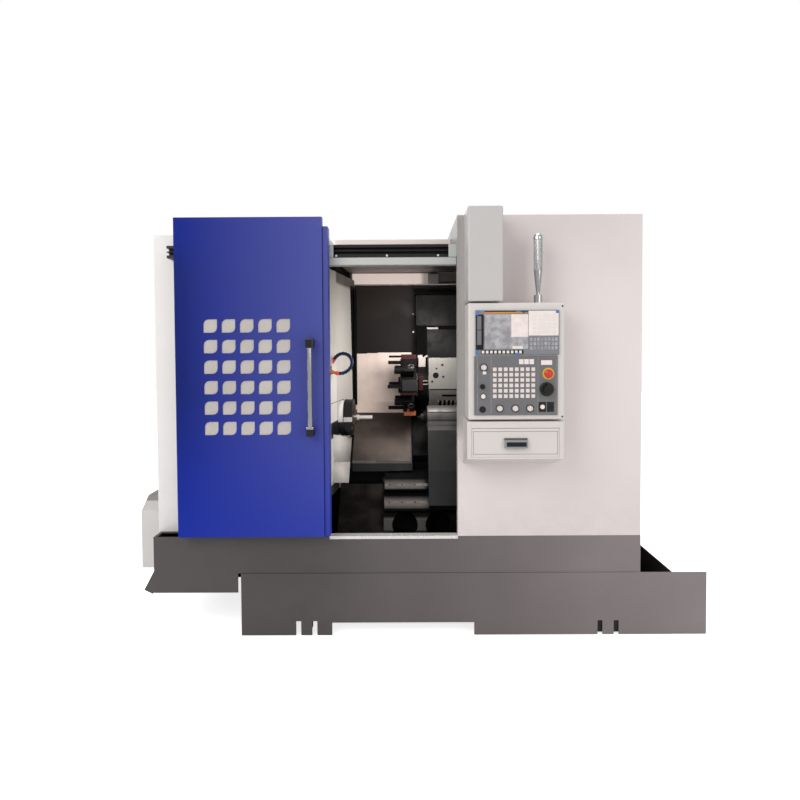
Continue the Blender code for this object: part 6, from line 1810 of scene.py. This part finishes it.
@dataclass
class Studio:
    """White floor and backdrop, soft lamps and the camera.

    Attributes:
        eye: the camera's place.
        lens: focal length on a 36 mm sensor.
        pitch: how far it looks down, in degrees.
        roll: how far it leans to the right, in degrees.
        yaw: how far it looks to the left, in degrees.
        shift: sensor shift across and up.
        floor_half: half of the floor's width.
        ambient: strength of the world's light.
        floor_glow: how much of its white the floor gives off to the camera.
    """

    eye: Point = (0.00875, -3.5089, 1.4571)
    lens: float = 26.2845
    pitch: float = 1.709
    roll: float = 0.306
    yaw: float = 0.183
    shift: Pair = (-0.00375, -0.046875)
    floor_half: float = 14.0
    ambient: float = 0.56
    floor_glow: float = 0.78

    def build(self) -> None:
        """Builds the stage, the lamps and the camera."""
        bpy.context.scene.view_settings.view_transform = "Standard"
        self.camera()
        self.stage()
        self.lamps()

    def camera(self) -> None:
        """Camera at the photograph's viewpoint."""
        data = bpy.data.cameras.new("camera")
        data.lens = self.lens
        data.sensor_width = 36.0
        data.shift_x, data.shift_y = self.shift
        data.clip_end = 100.0
        data.dof.use_dof = False
        made = bpy.data.objects.new("camera", data)
        bpy.context.scene.collection.objects.link(made)
        made.location = self.eye
        turns = (90 - self.pitch, self.roll, self.yaw)
        made.rotation_euler = [math.radians(turn) for turn in turns]
        bpy.context.scene.camera = made

    def stage(self) -> None:
        """White floor, which keeps the object's shadow, and a white world behind."""
        shape = bmesh.new()
        bmesh.ops.create_grid(shape, x_segments=8, y_segments=8, size=self.floor_half)
        mesh = bpy.data.meshes.new("floor")
        shape.to_mesh(mesh)
        shape.free()
        floor = bpy.data.objects.new("floor", mesh)
        bpy.context.scene.collection.objects.link(floor)
        floor.location = (0, 0, -0.0005)
        mesh.materials.append(self.floor_material())
        world = bpy.data.worlds.new("studio")
        bpy.context.scene.world = world
        world.use_nodes = True
        nodes = Nodes(world.node_tree)
        back = world.node_tree.nodes["Background"]
        nodes.set(back, "Color", WHITE)
        nodes.set(back, "Strength", nodes.band(self.seen(nodes), 0.0, 1.0, self.ambient, 1.0))

    @staticmethod
    def seen(nodes: Nodes) -> Socket:
        """Value that is 1 where the camera looks, straight or through clear parts."""
        rays = nodes.add("ShaderNodeLightPath").outputs
        return nodes.math("MAXIMUM", rays["Is Camera Ray"], rays["Is Transmission Ray"])

    def floor_material(self) -> bpy.types.Material:
        """White floor: faintly mottled, white to the camera, with a soft shadow.

        Returns:
            The floor's material.
        """
        material = bpy.data.materials.new("studio_floor")
        material.use_nodes = True
        nodes = Nodes(material.node_tree)
        shader = material.node_tree.nodes["Principled BSDF"]
        clouds = noise(nodes, nodes.place(), 0.6, 2.0)
        colour = nodes.blend(nodes.band(clouds, 0.3, 0.7), (0.93, 0.93, 0.93), (0.95, 0.95, 0.95))
        nodes.set(shader, "Base Color", colour)
        shader.inputs["Roughness"].default_value = 0.9
        shader.inputs["Specular IOR Level"].default_value = 0.0
        shader.inputs["Emission Color"].default_value = WHITE
        glow = nodes.math("MULTIPLY", self.seen(nodes), self.floor_glow)
        nodes.set(shader, "Emission Strength", glow)
        return material

    def lamps(self) -> None:
        """Broad soft lamps in front, above and behind, and a small one inside at the chuck."""
        for name, place, target, size, power, colour in (
            ("key", (-3.2, -4.2, 4.2), (0.0, 0.0, 1.0), 3.6, 145.0, (1.0, 0.99, 0.98)),
            ("fill", (3.6, -4.6, 3.0), (0.2, 0.0, 1.0), 3.6, 74.0, (1.0, 0.98, 0.98)),
            ("top", (0.0, 0.6, 5.2), (0.0, 0.0, 1.0), 4.0, 95.0, (1.0, 1.0, 1.0)),
            ("back", (0.0, 5.0, 3.4), (0.0, 0.0, 1.0), 3.6, 70.0, (1.0, 1.0, 1.0)),
            ("inside", (0.16, -0.4, 1.56), (-0.24, 0.06, 1.1), 0.2, 4.6, (1.0, 0.97, 0.94)),
        ):
            data = bpy.data.lights.new(name, "AREA")
            data.size = size
            data.energy = power
            data.color = colour
            made = bpy.data.objects.new(name, data)
            bpy.context.scene.collection.objects.link(made)
            made.location = place
            made.rotation_euler = (Vector(target) - Vector(place)).to_track_quat("-Z", "Y").to_euler()


def main() -> None:
    """Builds the whole scene."""
    logging.basicConfig(level=logging.INFO, format="%(name)s: %(message)s")
    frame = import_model()
    shop = Shop(frame)
    for part in (Base, Enclosure, Headstock, Ways, Carriage, Door, Controls):
        part(shop).build()
    Studio().build()


if __name__ == "__main__":
    main()
